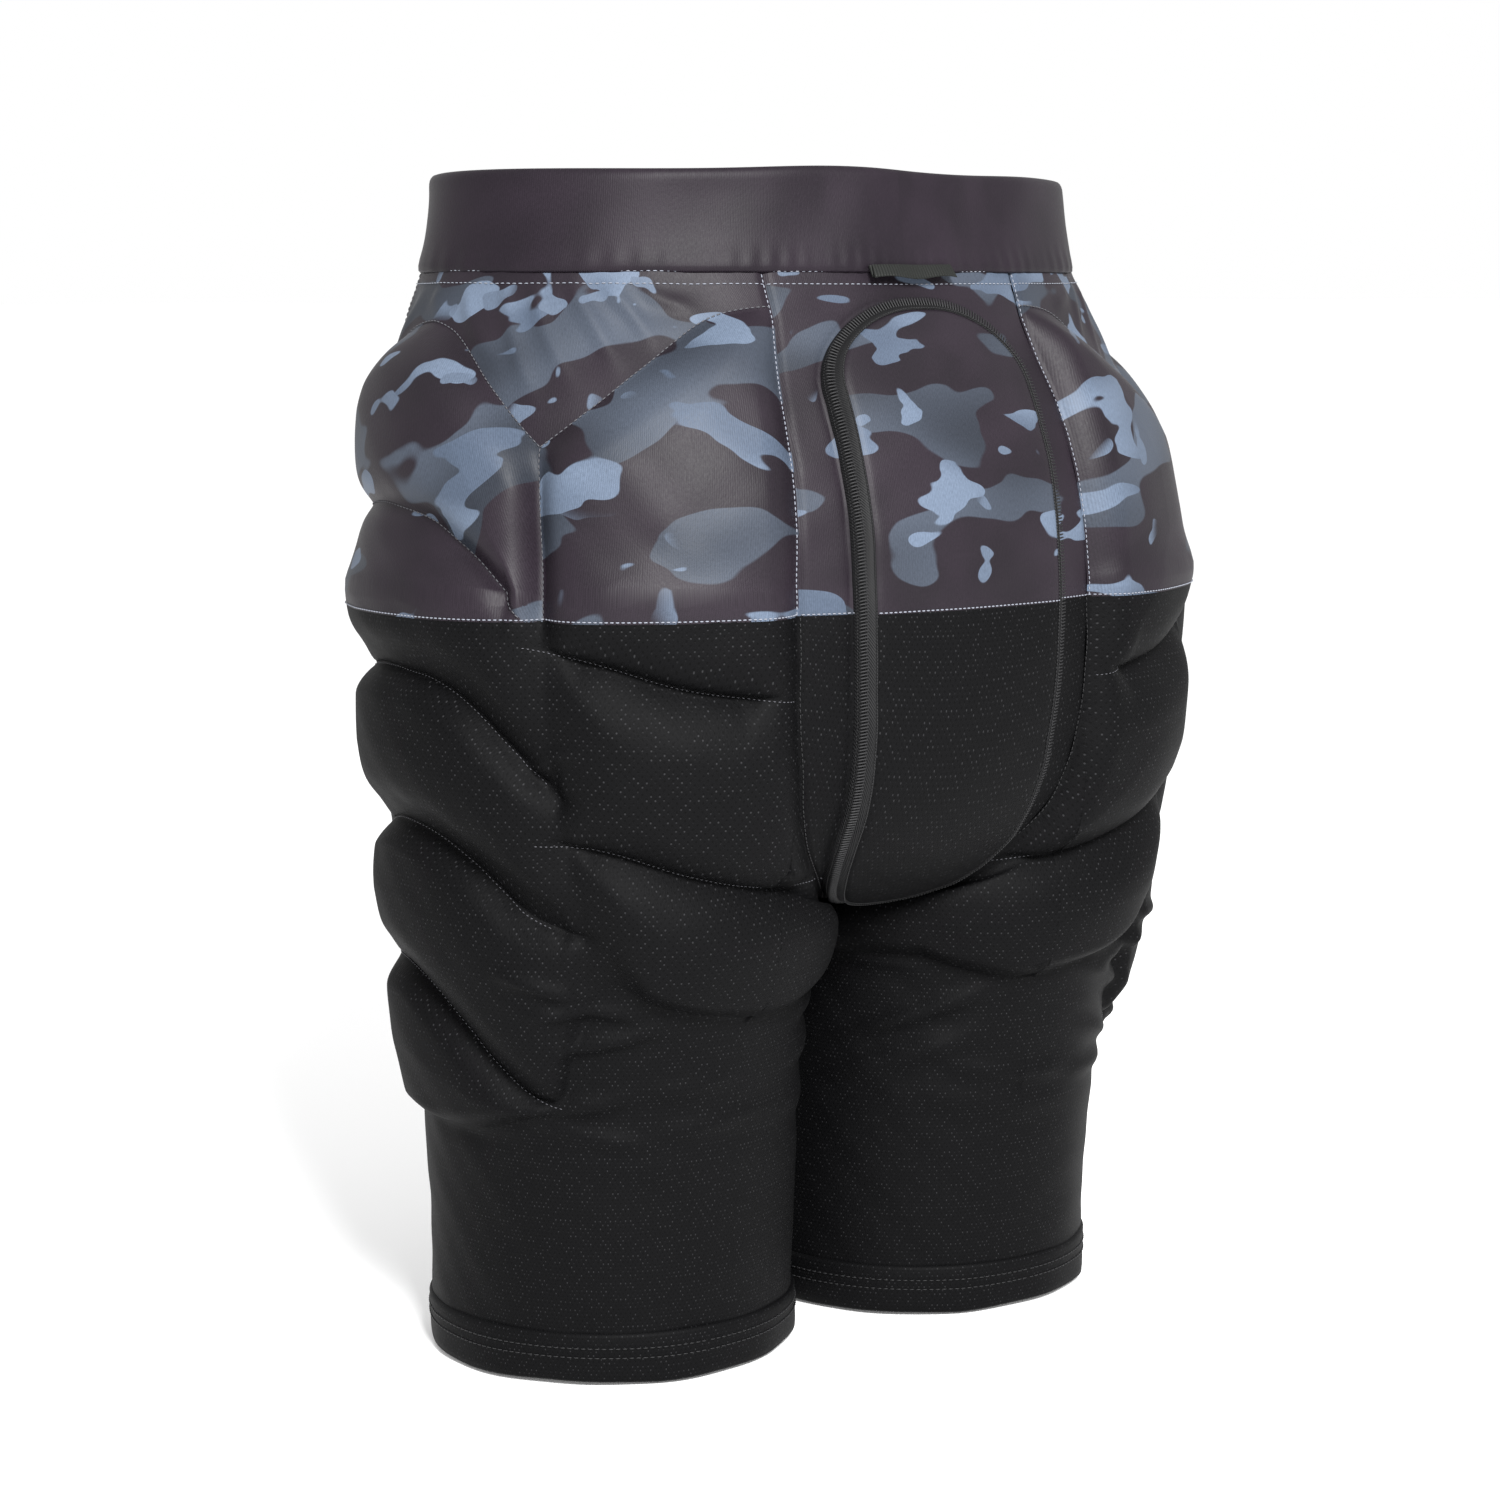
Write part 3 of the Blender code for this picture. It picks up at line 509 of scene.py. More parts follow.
def at(value):
    return lambda other: value + 0 * np.asarray(other, float)


def along(points, shift=0.0):
    return lambda where: soft_curve(points, where) + shift


def stitch_mesh(name, rows, material, long=0.0019, wide=0.00028, high=0.00022, pitch=0.0026,
                across=None):
    """One mesh of thread stitches along rows of (points, normals). Across turns them sideways."""
    vertices, faces = [], []
    sides = 6
    ring = np.linspace(0, 2 * math.pi, sides, endpoint=False)
    profile = np.array([(-0.5, 0.25), (-0.36, 0.85), (0.0, 1.0), (0.36, 0.85), (0.5, 0.25)])
    count = 0
    for points, normals in rows:
        length = np.concatenate([[0], np.cumsum(np.linalg.norm(np.diff(points, axis=0), axis=1))])
        where = np.arange(pitch / 2, length[-1], pitch)

        def sample(values, shift=0.0):
            rows = [np.interp(where + shift, length, values[:, k]) for k in range(3)]
            return np.stack(rows, -1)

        centre, up = sample(points), sample(normals)
        forward = sample(points, 1e-4) - sample(points, -1e-4)
        forward /= np.linalg.norm(forward, axis=-1, keepdims=True) + 1e-12
        up -= forward * (up * forward).sum(-1, keepdims=True)
        up /= np.linalg.norm(up, axis=-1, keepdims=True) + 1e-12
        beside = np.cross(forward, up)
        if across is not None:
            forward, beside = beside + forward * across, forward
        block = []
        for t, r in profile:
            dip = -high * 0.9 * (2 * abs(t)) ** 3
            for a in ring:
                block.append(
                    centre + forward * (t * long) + beside * (math.cos(a) * r * wide)
                    + up * (math.sin(a) * r * high + dip + high * 0.4)
                )
        vertices.append(np.stack(block, 1).reshape(-1, 3))
        base = count + np.arange(len(where))[:, None] * len(block)
        for low in range(0, len(block) - sides, sides):
            for a in range(sides):
                b = (a + 1) % sides
                faces.append(base + np.array([a, b, sides + b, sides + a]) + low)
        last = len(block) - sides
        for cap in ((5, 4, 3, 2), (5, 2, 1, 0)):
            faces.append(base + np.array(cap))
        for cap in ((0, 1, 2, 3), (0, 3, 4, 5)):
            faces.append(base + np.array(cap) + last)
        count += len(where) * len(block)
    mesh = bpy.data.meshes.new(name)
    mesh.from_pydata(np.concatenate(vertices).tolist(), [], np.concatenate(faces).tolist())
    return link_mesh(name, mesh, material)


# ---- Materials ----
class Nodes:
    """A short way to write a material's node tree."""

    def __init__(self, name):
        self.material = bpy.data.materials.new(name)
        self.material.use_nodes = True
        self.tree = self.material.node_tree
        self.shader = self.tree.nodes["Principled BSDF"]

    def add(self, kind, inputs=(), **settings):
        node = self.tree.nodes.new(kind)
        for key, value in settings.items():
            setattr(node, key, value)
        for key, value in dict(inputs).items():
            if hasattr(value, "is_linked"):
                self.tree.links.new(value, node.inputs[key])
            else:
                node.inputs[key].default_value = value
        return node

    def math(self, operation, a, b=0.0):
        return self.add("ShaderNodeMath", {0: a, 1: b}, operation=operation).outputs[0]

    def plus(self, a, b):
        return self.math("ADD", a, b)

    def minus(self, a, b):
        return self.math("SUBTRACT", a, b)

    def times(self, a, b):
        return self.math("MULTIPLY", a, b)

    def mix(self, factor, a, b):
        node = self.add("ShaderNodeMix", data_type="RGBA")
        for key, value in (("Factor", factor), ("A", a), ("B", b)):
            sockets = [s for s in node.inputs if s.name == key and s.enabled]
            if hasattr(value, "is_linked"):
                self.tree.links.new(value, sockets[0])
            else:
                sockets[0].default_value = value
        return [s for s in node.outputs if s.enabled][0]

    def noise(self, vector, scale, detail=2.0, rough=0.5, bend=0.0):
        return self.add("ShaderNodeTexNoise", {
            "Vector": vector, "Scale": scale, "Detail": detail, "Roughness": rough,
            "Distortion": bend,
        }).outputs["Fac"]

    def above(self, value, level, soft):
        """0 below a level and 1 above it, over a soft edge."""
        return self.add("ShaderNodeMapRange", {
            "Value": value, "From Min": level - soft, "From Max": level + soft,
        }, interpolation_type="SMOOTHSTEP").outputs[0]

    def set(self, **values):
        for key, value in values.items():
            socket = self.shader.inputs[key.replace("_", " ")]
            if hasattr(value, "is_linked"):
                self.tree.links.new(value, socket)
            else:
                socket.default_value = value

    def bump(self, height, strength, distance, under=None):
        inputs = {"Height": height, "Strength": strength, "Distance": distance}
        if under is not None:
            inputs["Normal"] = under
        return self.add("ShaderNodeBump", inputs).outputs[0]

    def scaled(self, vector, x, y, z=1.0, shift=(0, 0, 0)):
        return self.add("ShaderNodeMapping", {
            "Vector": vector, "Scale": (x, y, z), "Location": shift,
        }).outputs[0]


def colour(r, g, b):
    return (r, g, b, 1.0)


def cloth_place(n):
    """Places on the flat cloth, in metres."""
    return n.add("ShaderNodeTexCoord").outputs["UV"]


def printed_fabric(name, plain=False):
    """Fine smooth knit. The print is broad dark patches with pale islands, or none on the band."""
    n = Nodes(name)
    cloth = cloth_place(n)
    plum = colour(0.0125, 0.0088, 0.0130)
    deep = colour(0.0080, 0.0058, 0.0085)
    haze = n.noise(cloth, 24, 2)
    ground = n.mix(n.above(haze, 0.52, 0.22), deep, plum)
    if not plain:
        wide = n.scaled(cloth, 1.0, 1.75)
        bent = n.noise(wide, 17, 1.6, 0.45, 0.25)
        patch = n.above(bent, 0.550, 0.006)
        slate = n.mix(n.above(n.noise(wide, 9, 1), 0.5, 0.18), colour(0.0140, 0.0165, 0.0225),
                      colour(0.038, 0.046, 0.062))
        ground = n.mix(patch, ground, slate)
        island = n.noise(n.scaled(cloth, 1.0, 1.9, 1.0, (0.37, 0.11, 0)), 23, 1.8, 0.5, 0.35)
        pale = n.mix(n.above(n.noise(wide, 14, 1, 0.5), 0.5, 0.12), colour(0.044, 0.058, 0.084),
                     colour(0.080, 0.103, 0.143))
        ground = n.mix(n.above(island, 0.610, 0.005), ground, pale)
        dots = n.noise(n.scaled(cloth, 1.0, 1.3, 1.0, (0.9, 0.4, 0)), 62, 0.6, 0.4, 0.2)
        near = n.above(n.noise(n.scaled(cloth, 1, 1, 1, (0.2, 0.8, 0)), 15, 1), 0.56, 0.03)
        spots = n.times(n.above(dots, 0.665, 0.008), near)
        ground = n.mix(spots, ground, colour(0.062, 0.080, 0.112))
    grain = n.noise(n.scaled(cloth, 1500, 620), 1.0, 1, 0.6)
    ribs = n.add("ShaderNodeTexWave", {
        "Vector": cloth, "Scale": 420.0, "Distortion": 0.8, "Detail": 1.0, "Detail Scale": 3.0,
    }, bands_direction="X").outputs["Fac"]
    speck = n.plus(n.times(grain, 0.50), 0.75)
    speck = n.plus(speck, n.times(n.minus(ribs, 0.5), 0.16))
    tinted = n.add("ShaderNodeMix", data_type="RGBA", blend_type="MULTIPLY")
    sockets = [s for s in tinted.inputs if s.enabled]
    sockets[0].default_value = 1.0
    n.tree.links.new(ground, sockets[1])
    n.tree.links.new(speck, sockets[2])
    n.set(Base_Color=[s for s in tinted.outputs if s.enabled][0])
    rough = n.plus(n.times(grain, 0.14), 0.42)
    n.set(Roughness=rough, IOR=1.24 if not plain else 1.21)
    n.set(Normal=n.bump(grain, 0.22, 0.0003, n.bump(ribs, 0.10, 0.0002)))
    return n.material


def perforated_fabric():
    """Black stretch knit: staggered pin holes, and painted glints, light specks where a yarn would
    catch light.
    """
    n = Nodes("black_perforated_knit")
    cloth = cloth_place(n)
    parts = n.add("ShaderNodeSeparateXYZ", {"Vector": cloth}).outputs
    wide, tall = 0.0024, 0.0017

    def lattice(shift):
        rows = n.plus(n.math("DIVIDE", parts[1], tall), shift)
        odd = n.math("MODULO", n.math("ABSOLUTE", n.math("FLOOR", rows)), 2.0)
        across = n.plus(n.math("DIVIDE", parts[0], wide), n.times(odd, 0.5))
        x = n.times(n.minus(n.math("FRACT", across), 0.5), wide)
        y = n.times(n.minus(n.math("FRACT", rows), 0.5), tall * 0.7)
        return n.math("SQRT", n.plus(n.times(x, x), n.times(y, y)))

    hole = n.minus(1.0, n.above(lattice(0.0), 0.00030, 0.00014))
    # Painted highlight: a lattice of light specks beside the holes, where a yarn would catch light
    high = n.minus(1.0, n.above(lattice(0.45), 0.00024, 0.00012))
    grain = n.noise(n.scaled(cloth, 1500, 800), 1.0, 1, 0.6)
    glint_chance = n.above(n.noise(cloth, 330, 0.5, 0.5), 0.56, 0.10)
    drift = n.noise(cloth, 14, 2)
    base = n.mix(drift, colour(0.0011, 0.0011, 0.0013), colour(0.0018, 0.0018, 0.0021))
    base = n.mix(n.times(grain, 0.5), base, colour(0.0038, 0.0038, 0.0042))
    base = n.mix(n.times(hole, 0.8), base, colour(0.0005, 0.0005, 0.0006))
    # Painted glint: a random share of those specks is painted much lighter than the black knit
    glint = n.times(high, glint_chance)
    base = n.mix(n.times(glint, 0.65), base, colour(0.030, 0.030, 0.032))
    n.set(Base_Color=base, Roughness=n.plus(n.times(grain, 0.16), 0.54))
    n.set(IOR=1.145)
    n.set(Normal=n.bump(grain, 0.35, 0.0004, n.bump(hole, -0.5, 0.0004)))
    return n.material


def thread(name, tone, rough=0.55):
    n = Nodes(name)
    place = n.add("ShaderNodeTexCoord").outputs["Object"]
    twist = n.noise(place, 2600, 1)
    light = colour(*(min(1, c * 1.35) for c in tone))
    n.set(Base_Color=n.mix(twist, colour(*(c * 0.7 for c in tone)), light), Roughness=rough)
    n.set(Specular_IOR_Level=0.3, Normal=n.bump(twist, 0.4, 0.0002))
    return n.material


def woven_tape(name, tone):
    n = Nodes(name)
    cloth = cloth_place(n)
    grain = n.noise(cloth, 1500, 2)
    ribs = n.add("ShaderNodeTexWave", {"Vector": cloth, "Scale": 240.0, "Distortion": 0.6},
                 bands_direction="X").outputs["Fac"]
    dark = colour(*(c * 0.55 for c in tone))
    mixed = n.mix(n.times(n.plus(grain, ribs), 0.5), dark, colour(*tone))
    n.set(Base_Color=mixed, Roughness=0.55, Specular_IOR_Level=0.2)
    n.set(Normal=n.bump(ribs, 0.5, 0.0003, n.bump(grain, 0.3, 0.0003)))
    return n.material


def lining_mesh():
    n = Nodes("black_lining_mesh")
    cloth = cloth_place(n)
    cells = n.add("ShaderNodeTexVoronoi", {"Vector": cloth, "Scale": 520.0, "Randomness": 0.25})
    reach = cells.outputs["Distance"]
    hole = n.minus(1.0, n.above(reach, 0.34, 0.12))
    grain = n.noise(cloth, 1400, 2)
    base = n.mix(hole, n.mix(grain, colour(0.012, 0.012, 0.013), colour(0.030, 0.030, 0.032)),
                 colour(0.003, 0.003, 0.003))
    n.set(Base_Color=base, Roughness=0.75, Specular_IOR_Level=0.15)
    n.set(Normal=n.bump(hole, -0.6, 0.0005, n.bump(grain, 0.3, 0.0003)))
    return n.material


CAMO = printed_fabric("camouflage_knit")
BAND = printed_fabric("plain_band_knit", plain=True)
BLACK = perforated_fabric()
LINING = lining_mesh()
TAPE = woven_tape("black_tape", (0.0050, 0.0050, 0.0056))
LABEL = woven_tape("label_satin", (0.0060, 0.0070, 0.0058))
PALE_THREAD = thread("pale_grey_thread", (0.17, 0.18, 0.21))
GREY_THREAD = thread("grey_thread", (0.055, 0.055, 0.062))
BLACK_THREAD = thread("black_thread", (0.0065, 0.0065, 0.0072))


# ---- The printed panels ----
STRIP_TOP = BAND_SEAM + 0.003     # the panels end behind the waistband
TOP = at(STRIP_TOP)
EDGE = at(PRINT_EDGE - JOIN)
OVERLAP = 0.15                    # degrees by which a side panel passes the middle strip's seam


def yoke_bottom(angle):
    return yoke_line(angle) - JOIN


def hip_bottom(angle):
    return np.maximum(soft_curve(HIP_GROOVE_1, angle), PRINT_EDGE) - JOIN


def hip_top(angle):
    return np.maximum(soft_curve(HIP_GROOVE_1, angle) + JOIN, PRINT_EDGE + 0.0001)


PANELS = (
    ("yoke", lambda z: back_edge(z) - OVERLAP, at(FRONT_SEAM), TOP, yoke_bottom, 190, 56,
     (0.11, 0.07), 0.2, ("yoke_panel", "pocket_lining")),
    ("seat", lambda z: back_edge(z) - OVERLAP, along(SIDE_SEAM, OVERLAP), along(SEAT_TOP, JOIN),
     EDGE, 96, 104, (0.43, 0.19), -0.1, ("seat_panel", "seat_pad_upper")),
    ("upper_hip", along(SIDE_SEAM, -0.1), at(FRONT_SEAM), along(HIP_TOP, JOIN), hip_bottom,
     130, 84, (0.67, 0.31), 0.35, ("hip_panel_upper", "hip_pad_1")),
    ("lower_hip", at(46.2), at(FRONT_SEAM), hip_top, EDGE, 120, 40,
     (0.91, 0.37), 0.1, ("hip_panel_lower", "hip_pad_2")),
    ("front", at(FRONT_SEAM), lambda z: front_edge(z) + OVERLAP, TOP, EDGE, 84, 88,
     (1.13, 0.41), 0.0, ("front_panel",)),
)
for name, left, right, top, bottom, columns, rows, shift, turn, nodes in PANELS:
    pair = side_patch(name, left, right, top, bottom, columns, rows, shift, turn)
    for piece, word in zip(pair, ("left", "right")):
        stands_for(piece, "printed_fabric", *[f"{node}_{word}" for node in nodes])


# ---- The middle strip: printed back, black gusset, printed front ----
TUCK = 0.0016             # how far the strip's edges lie under the side panels, and how much lower
TUCK_DROP = 0.0009


def strip(name, material, z_first, z_last, front_first, front_last, columns, rows, shift):
    u, v = unit_grid(columns, rows)
    first = level_angle(u[0], z_first, front_first)
    last = level_angle(u[0], z_last, front_last)
    angle = first + (last - first) * v
    seam = soft_curve(MIDDLE_HALF, angle)
    across = (2 * u - 1) * (seam + TUCK)
    tucked = -TUCK_DROP * step(0.0001, 0.0010, np.abs(across) - seam)
    points, _ = middle_fabric(across, angle, tucked)
    flat = np.stack([across + shift[0], -np.radians(angle) * 0.13 + shift[1]], -1)
    piece = grid_object(name, points, flat, material)
    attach(piece, "hips")
    return piece


back = strip("back_middle", CAMO, STRIP_TOP, PRINT_EDGE, False, False, 120, 104, (0.5, 1.3))
stands_for(back, "printed_fabric", "back_middle_panel", "tailbone_pad")
gusset = strip("crotch_gusset_cloth", BLACK, PRINT_EDGE, PRINT_EDGE, False, True, 110, 250, (0, 0))
stands_for(gusset, "black_fabric", "crotch_gusset")
front = strip("front_middle", CAMO, PRINT_EDGE, STRIP_TOP, True, True, 70, 90, (0.2, 1.9))
stands_for(front, "printed_fabric", "front_middle_panel")


# ---- The legs ----
def leg_rim():
    """The leg panel's top edge as (angle, z), once round, evenly spaced along the edge."""
    start, end = level_angle(1.0, PRINT_EDGE)[0], level_angle(1.0, PRINT_EDGE, True)[0]
    angles = np.linspace(start, end, 220)
    points = middle_point(soft_curve(MIDDLE_HALF, angles) - JOIN, angles)
    turn = np.degrees(np.arctan2(points[:, 0] - THIGH_X, points[:, 1] - THIGH_Y)) % 360
    turn = np.minimum.accumulate(turn) - 0.002 * np.arange(len(angles))
    seam = np.stack([turn, np.minimum(points[:, 2], PRINT_EDGE)], -1)[::-1]
    outer = np.linspace(seam[-1, 0] - 360, seam[0, 0], 200)[:-1]
    rim = np.concatenate([np.stack([outer, 0 * outer + PRINT_EDGE], -1), seam])
    apart = np.hypot(np.diff(rim[:, 0]) * math.radians(1) * ROUND, 0.35 * np.diff(rim[:, 1]))
    length = np.concatenate([[0], np.cumsum(apart)])
    even = np.linspace(0, length[-1], 400 // COARSE + 1)
    return np.interp(even, length, rim[:, 0]), np.interp(even, length, rim[:, 1])


RIM_ANGLE, RIM_Z = leg_rim()


def follow(piece):
    """Bakes the transform of cloth that runs from the hips to a leg, between the crotch and the
    outer thigh.
    """
    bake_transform(piece)


v = np.linspace(0, 1, 208 // COARSE + 1)[:, None]
angle = RIM_ANGLE[None, :] + 0 * v
z = (HEM_TOP - 0.004) + (RIM_Z[None, :] + JOIN - HEM_TOP + 0.004) * v
half = Half(angle, z)
for side, word in ((1, "left"), (-1, "right")):
    points, _ = side_fabric(half, side)
    flat = np.stack([np.radians(angle) * 0.086 * side, z], -1)
    leg = grid_object(f"padded_leg_{word}", points, flat, BLACK, wrap=True)
    follow(leg)
    stands_for(leg, "black_fabric", *[f"{node}_{word}" for node in (
        "leg_panel", "seat_pad_middle", "seat_pad_lower", "thigh_pad_1", "thigh_pad_2",
        "thigh_pad_3")])


# ---- Hems ----
def sweep(path, columns):
    """Grids for a (height, z) path taken once round: turn, height, z and cloth length."""
    height, z = np.array(path).T[:, :, None]
    length = np.hypot(np.diff(height, axis=0), np.diff(z, axis=0))
    girth = np.concatenate([[[0]], np.cumsum(length, axis=0)])
    u = np.linspace(0, 1, columns // COARSE + 1)[None, :] + 0 * z
    return u, height + 0 * u, z + 0 * u, girth + 0 * u


def upright(points):
    """Level normals of the body at these points."""
    normal = outward(points) * (1, 1, 0)
    return normal / np.linalg.norm(normal, axis=-1, keepdims=True)


path = [(0.0046, HEM_TOP + 0.0004), (0.0054, HEM_TOP - 0.0012), (0.0053, HEM_TOP - 0.006),
        (0.0053, HEM_LOW + 0.004), (0.0051, HEM_LOW + 0.0012), (0.0042, HEM_LOW + 0.0003),
        (0.0030, HEM_LOW), (0.0018, HEM_LOW + 0.0003), (0.0009, HEM_LOW + 0.0012),
        (0.0008, HEM_LOW + 0.006), (0.0008, HEM_TOP - 0.004), (0.0012, HEM_TOP - 0.0004),
        (0.0030, HEM_TOP + 0.0008), (0.0046, HEM_TOP + 0.0004)]
u, height, z, girth = sweep(path, 300)


def hem_points(turn, z, height, side):
    flat = side_point(turn, z)
    normal = upright(flat)
    sway = 0.0005 * np.sin(np.radians(turn) * 5 + side) + 0.0004 * np.sin(np.radians(turn) * 11)
    rise = 0.0007 * np.sin(np.radians(turn) * 3 + 2 * side) - 0.0002
    points = flat + normal * (height + sway * step(HEM_TOP, HEM_LOW, z))[..., None]
    points[..., 2] += np.abs(rise) * step(HEM_TOP, HEM_LOW, z)
    return points * (side, 1, 1), normal * (side, 1, 1)


for side, word in ((1, "left"), (-1, "right")):
    points, _ = hem_points(360 * u, z, height, side)
    flat = np.stack([2 * math.pi * u * 0.08 * side, -0.48 - girth], -1)
    hem = grid_object(f"folded_hem_{word}", points, flat, BLACK, wrap=True, wrap_rows=True)
    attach(hem, "leg_" + word)
    stands_for(hem, "black_fabric", f"leg_hem_{word}")
    rows_of_thread = []
    for level in (-0.4838, -0.4880):
        turn = np.linspace(0, 360, 500)
        rows_of_thread.append(hem_points(turn, np.full(500, level), np.full(500, 0.0055), side))
    row = stitch_mesh(f"hem_stitches_{word}", rows_of_thread, BLACK_THREAD, long=0.0022,
                      pitch=0.0029, high=0.0003, wide=0.0003)
    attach(row, "leg_" + word)

# ---- Waistband ----
bottom = BAND_SEAM
path = [(0.0030, bottom - 0.0003), (0.0042, bottom - 0.0008), (0.0054, bottom + 0.0002),
        (0.0060, bottom + 0.0022)]
path += [(0.0062 - 0.0004 * t, bottom + 0.0022 + (0.0385 - 0.0047) * t)
         for t in np.linspace(0.08, 1, 16)]
path += [(0.0035 + 0.0023 * math.cos(t), -0.0047 + 0.0044 * math.sin(t))
         for t in np.linspace(0.25, math.pi - 0.25, 9)]
path += [(0.0012, -0.0047 - 0.0335 * t) for t in np.linspace(0, 1, 8)]
path += [(0.0016, bottom + 0.0004), (0.0030, bottom - 0.0003)]
u, height, z, girth = sweep(path, 640)


def band_points(turn, z, height):
    flat = ring_point(turn, z)
    normal = upright(flat)
    a = np.radians(turn)
    middle = step(bottom, bottom + 0.015, z) * step(-0.004, 0.012, -z)
    wave = 0.0006 * np.sin(5 * a + 1) * middle + 0.00035 * np.sin(13 * a + z * 60)
    puckers = 0.00022 * np.sin(83 * a) * np.exp(-(((z - bottom - 0.003) / 0.006) ** 2))
    points = flat + normal * (height + wave + puckers * np.sin(7 * a))[..., None]
    points[..., 2] += (0.0012 * np.sin(2 * a + 0.6) + 0.0006 * np.sin(5 * a)) * step(-0.03, 0, z)
    return points, normal


points, _ = band_points(360 * u, z, height)
flat = np.stack([2 * math.pi * u * 0.128, girth], -1)
band = grid_object("waistband_cloth", points, flat, BAND, wrap=True, wrap_rows=True)
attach(band, "hips")
stands_for(band, "printed_fabric", "waistband", "waist_elastic")


# ---- Tape round the tailbone pad ----
def tail_outline(offset, count=900):
    """A closed line at this distance outside the tailbone pad, as (across, angle)."""
    turn = np.linspace(0, 2 * math.pi, 4000)
    middle = TAIL_START + (TAIL_END - TAIL_START) / 2
    reach = np.full(turn.shape, 0.05)

    def line():
        return np.sin(turn) * reach, middle - np.degrees(np.cos(turn) * reach / TAIL_RADIUS)

    for _ in range(60):
        reach = reach - 0.6 * (tail_outside(*line()) - offset)
    across, angle = line()
    apart = np.hypot(np.diff(across), np.radians(np.diff(angle)) * TAIL_RADIUS)
    distance = np.concatenate([[0], np.cumsum(apart)])
    even = np.linspace(0, distance[-1], count + 1)
    return np.interp(even, distance, across), np.interp(even, distance, angle), distance[-1]


TAPE_HALF = 0.0036
profile = [(-1.0, -0.0002), (-0.96, 0.0006), (-0.7, 0.0010), (-0.35, 0.00125), (0, 0.0013),
           (0.35, 0.00125), (0.7, 0.0010), (0.96, 0.0006), (1.0, -0.0002)]
grid, flats = [], []
for sideways, lift in profile:
    across, angle, length = tail_outline(0.0005 + sideways * TAPE_HALF)
    points, normal = middle_fabric(across, angle, lift)
    grid.append(points)
    flats.append(np.stack([np.linspace(0, length, len(across)), 0 * across + sideways * 0.004], -1))
tape = grid_object("tailbone_tape_cloth", np.stack(grid), np.stack(flats), TAPE, wrap=True)
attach(tape, "hips")
stands_for(tape, "seam_tape", "tailbone_tape")
across, angle, _ = tail_outline(0.0005)
middle_row = middle_fabric(across, angle, 0.0012)
ladder = stitch_mesh("tailbone_tape_stitches", [middle_row], BLACK_THREAD, long=0.0070,
                     wide=0.00040, high=0.00050, pitch=0.00135, across=0.12)
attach(ladder, "hips")
rails = []
for sideways in (-0.80, 0.80):
    across, angle, _ = tail_outline(0.0005 + sideways * TAPE_HALF)
    rails.append(middle_fabric(across, angle, 0.0011))
rail = stitch_mesh("tailbone_tape_edges", rails, BLACK_THREAD, long=0.0012, wide=0.00022,
                   high=0.0003, pitch=0.00135)
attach(rail, "hips")


# ---- Stitches on the seams ----
STITCH_LIFT = 0.0003
SEAT_TOP_BACK = -0.056    # where the seat panel's upper edge meets the middle strip


def side_row(angle, z, side):
    return side_fabric(Half(angle, z + 0 * angle), side, STITCH_LIFT)


def level_row(level, front_side):
    """A level row across the middle strip."""
    u = np.linspace(0, 1, 90)
    angle = level_angle(u, level, front_side)
    across = (2 * u - 1) * soft_curve(MIDDLE_HALF, angle)
    return middle_fabric(across, angle, STITCH_LIFT)


pale, grey = [], []
z_line = np.linspace(BAND_SEAM - 0.002, PRINT_EDGE, 130)
for side in (1, -1):
    pale.append(side_row(back_edge(z_line) + 0.35, z_line, side))
    pale.append(side_row(front_edge(z_line) - 0.35, z_line, side))
    turn = np.linspace(back_edge(SEAT_TOP_BACK), SIDE_TOP, 150)
    grey.append(side_row(turn, soft_curve(SEAT_TOP, turn), side))
    turn = np.linspace(SIDE_TOP, FRONT_SEAM, 150)
    grey.append(side_row(turn, soft_curve(HIP_TOP, turn), side))
    level = np.linspace(-0.111, PRINT_EDGE, 90)
    grey.append(side_row(soft_curve(SIDE_SEAM, level), level, side))
    turn = np.linspace(50, FRONT_SEAM, 150)
    grey.append(side_row(turn, np.maximum(soft_curve(HIP_GROOVE_1, turn), PRINT_EDGE), side))
    level = np.linspace(BAND_SEAM - 0.002, PRINT_EDGE, 120)
    grey.append(side_row(0 * level + FRONT_SEAM, level, side))
    turn = np.linspace(back_edge(PRINT_EDGE), front_edge(PRINT_EDGE), 420)
    pale.append(side_row(turn, PRINT_EDGE + 0.0007, side))
pale += [level_row(PRINT_EDGE + 0.0007, front_side) for front_side in (False, True)]
pale_rows = stitch_mesh("pale_seam_stitches", pale, PALE_THREAD, long=0.0015, pitch=0.0022)
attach(pale_rows, "hips")
grey_rows = stitch_mesh("grey_seam_stitches", grey, GREY_THREAD, long=0.0017, pitch=0.0024)
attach(grey_rows, "hips")

around = []
for level in (BAND_SEAM - 0.0014, BAND_SEAM - 0.0066):
    for side in (1, -1):
        turn = np.linspace(back_edge(level), front_edge(level), 420)
        around.append(side_row(turn, level, side))
    around += [level_row(level, front_side) for front_side in (False, True)]
waist_rows = stitch_mesh("waist_seam_stitches", around, PALE_THREAD, long=0.0017, pitch=0.0027,
                         wide=0.00022)
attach(waist_rows, "hips")

# Seam lines in the black fabric: the lower lip of each groove, and down the middle seam
LIP = 0.0012
THREADED = [(SEAT_GROOVE_1, -5, 50, 160), (SEAT_GROOVE_2, -34, 48, 200)]
THREADED += [(points, 46, FRONT_SEAM, 200) for points in (HIP_GROOVE_2, HIP_GROOVE_3, HIP_GROOVE_4)]
for side, word in ((1, "left"), (-1, "right")):
    dark = []
    for points, first, last, count in THREADED:
        turn = np.linspace(first, last, count)
        dark.append(side_row(turn, soft_curve(points, turn) - LIP, side))
    lip = stitch_mesh(f"groove_stitches_{word}", dark, GREY_THREAD, long=0.0011,
                      pitch=0.0021, wide=0.0002, high=0.0002)
    follow(lip)
seams = []
angles = np.linspace(level_angle(1.0, PRINT_EDGE)[0], level_angle(1.0, PRINT_EDGE, True)[0], 400)
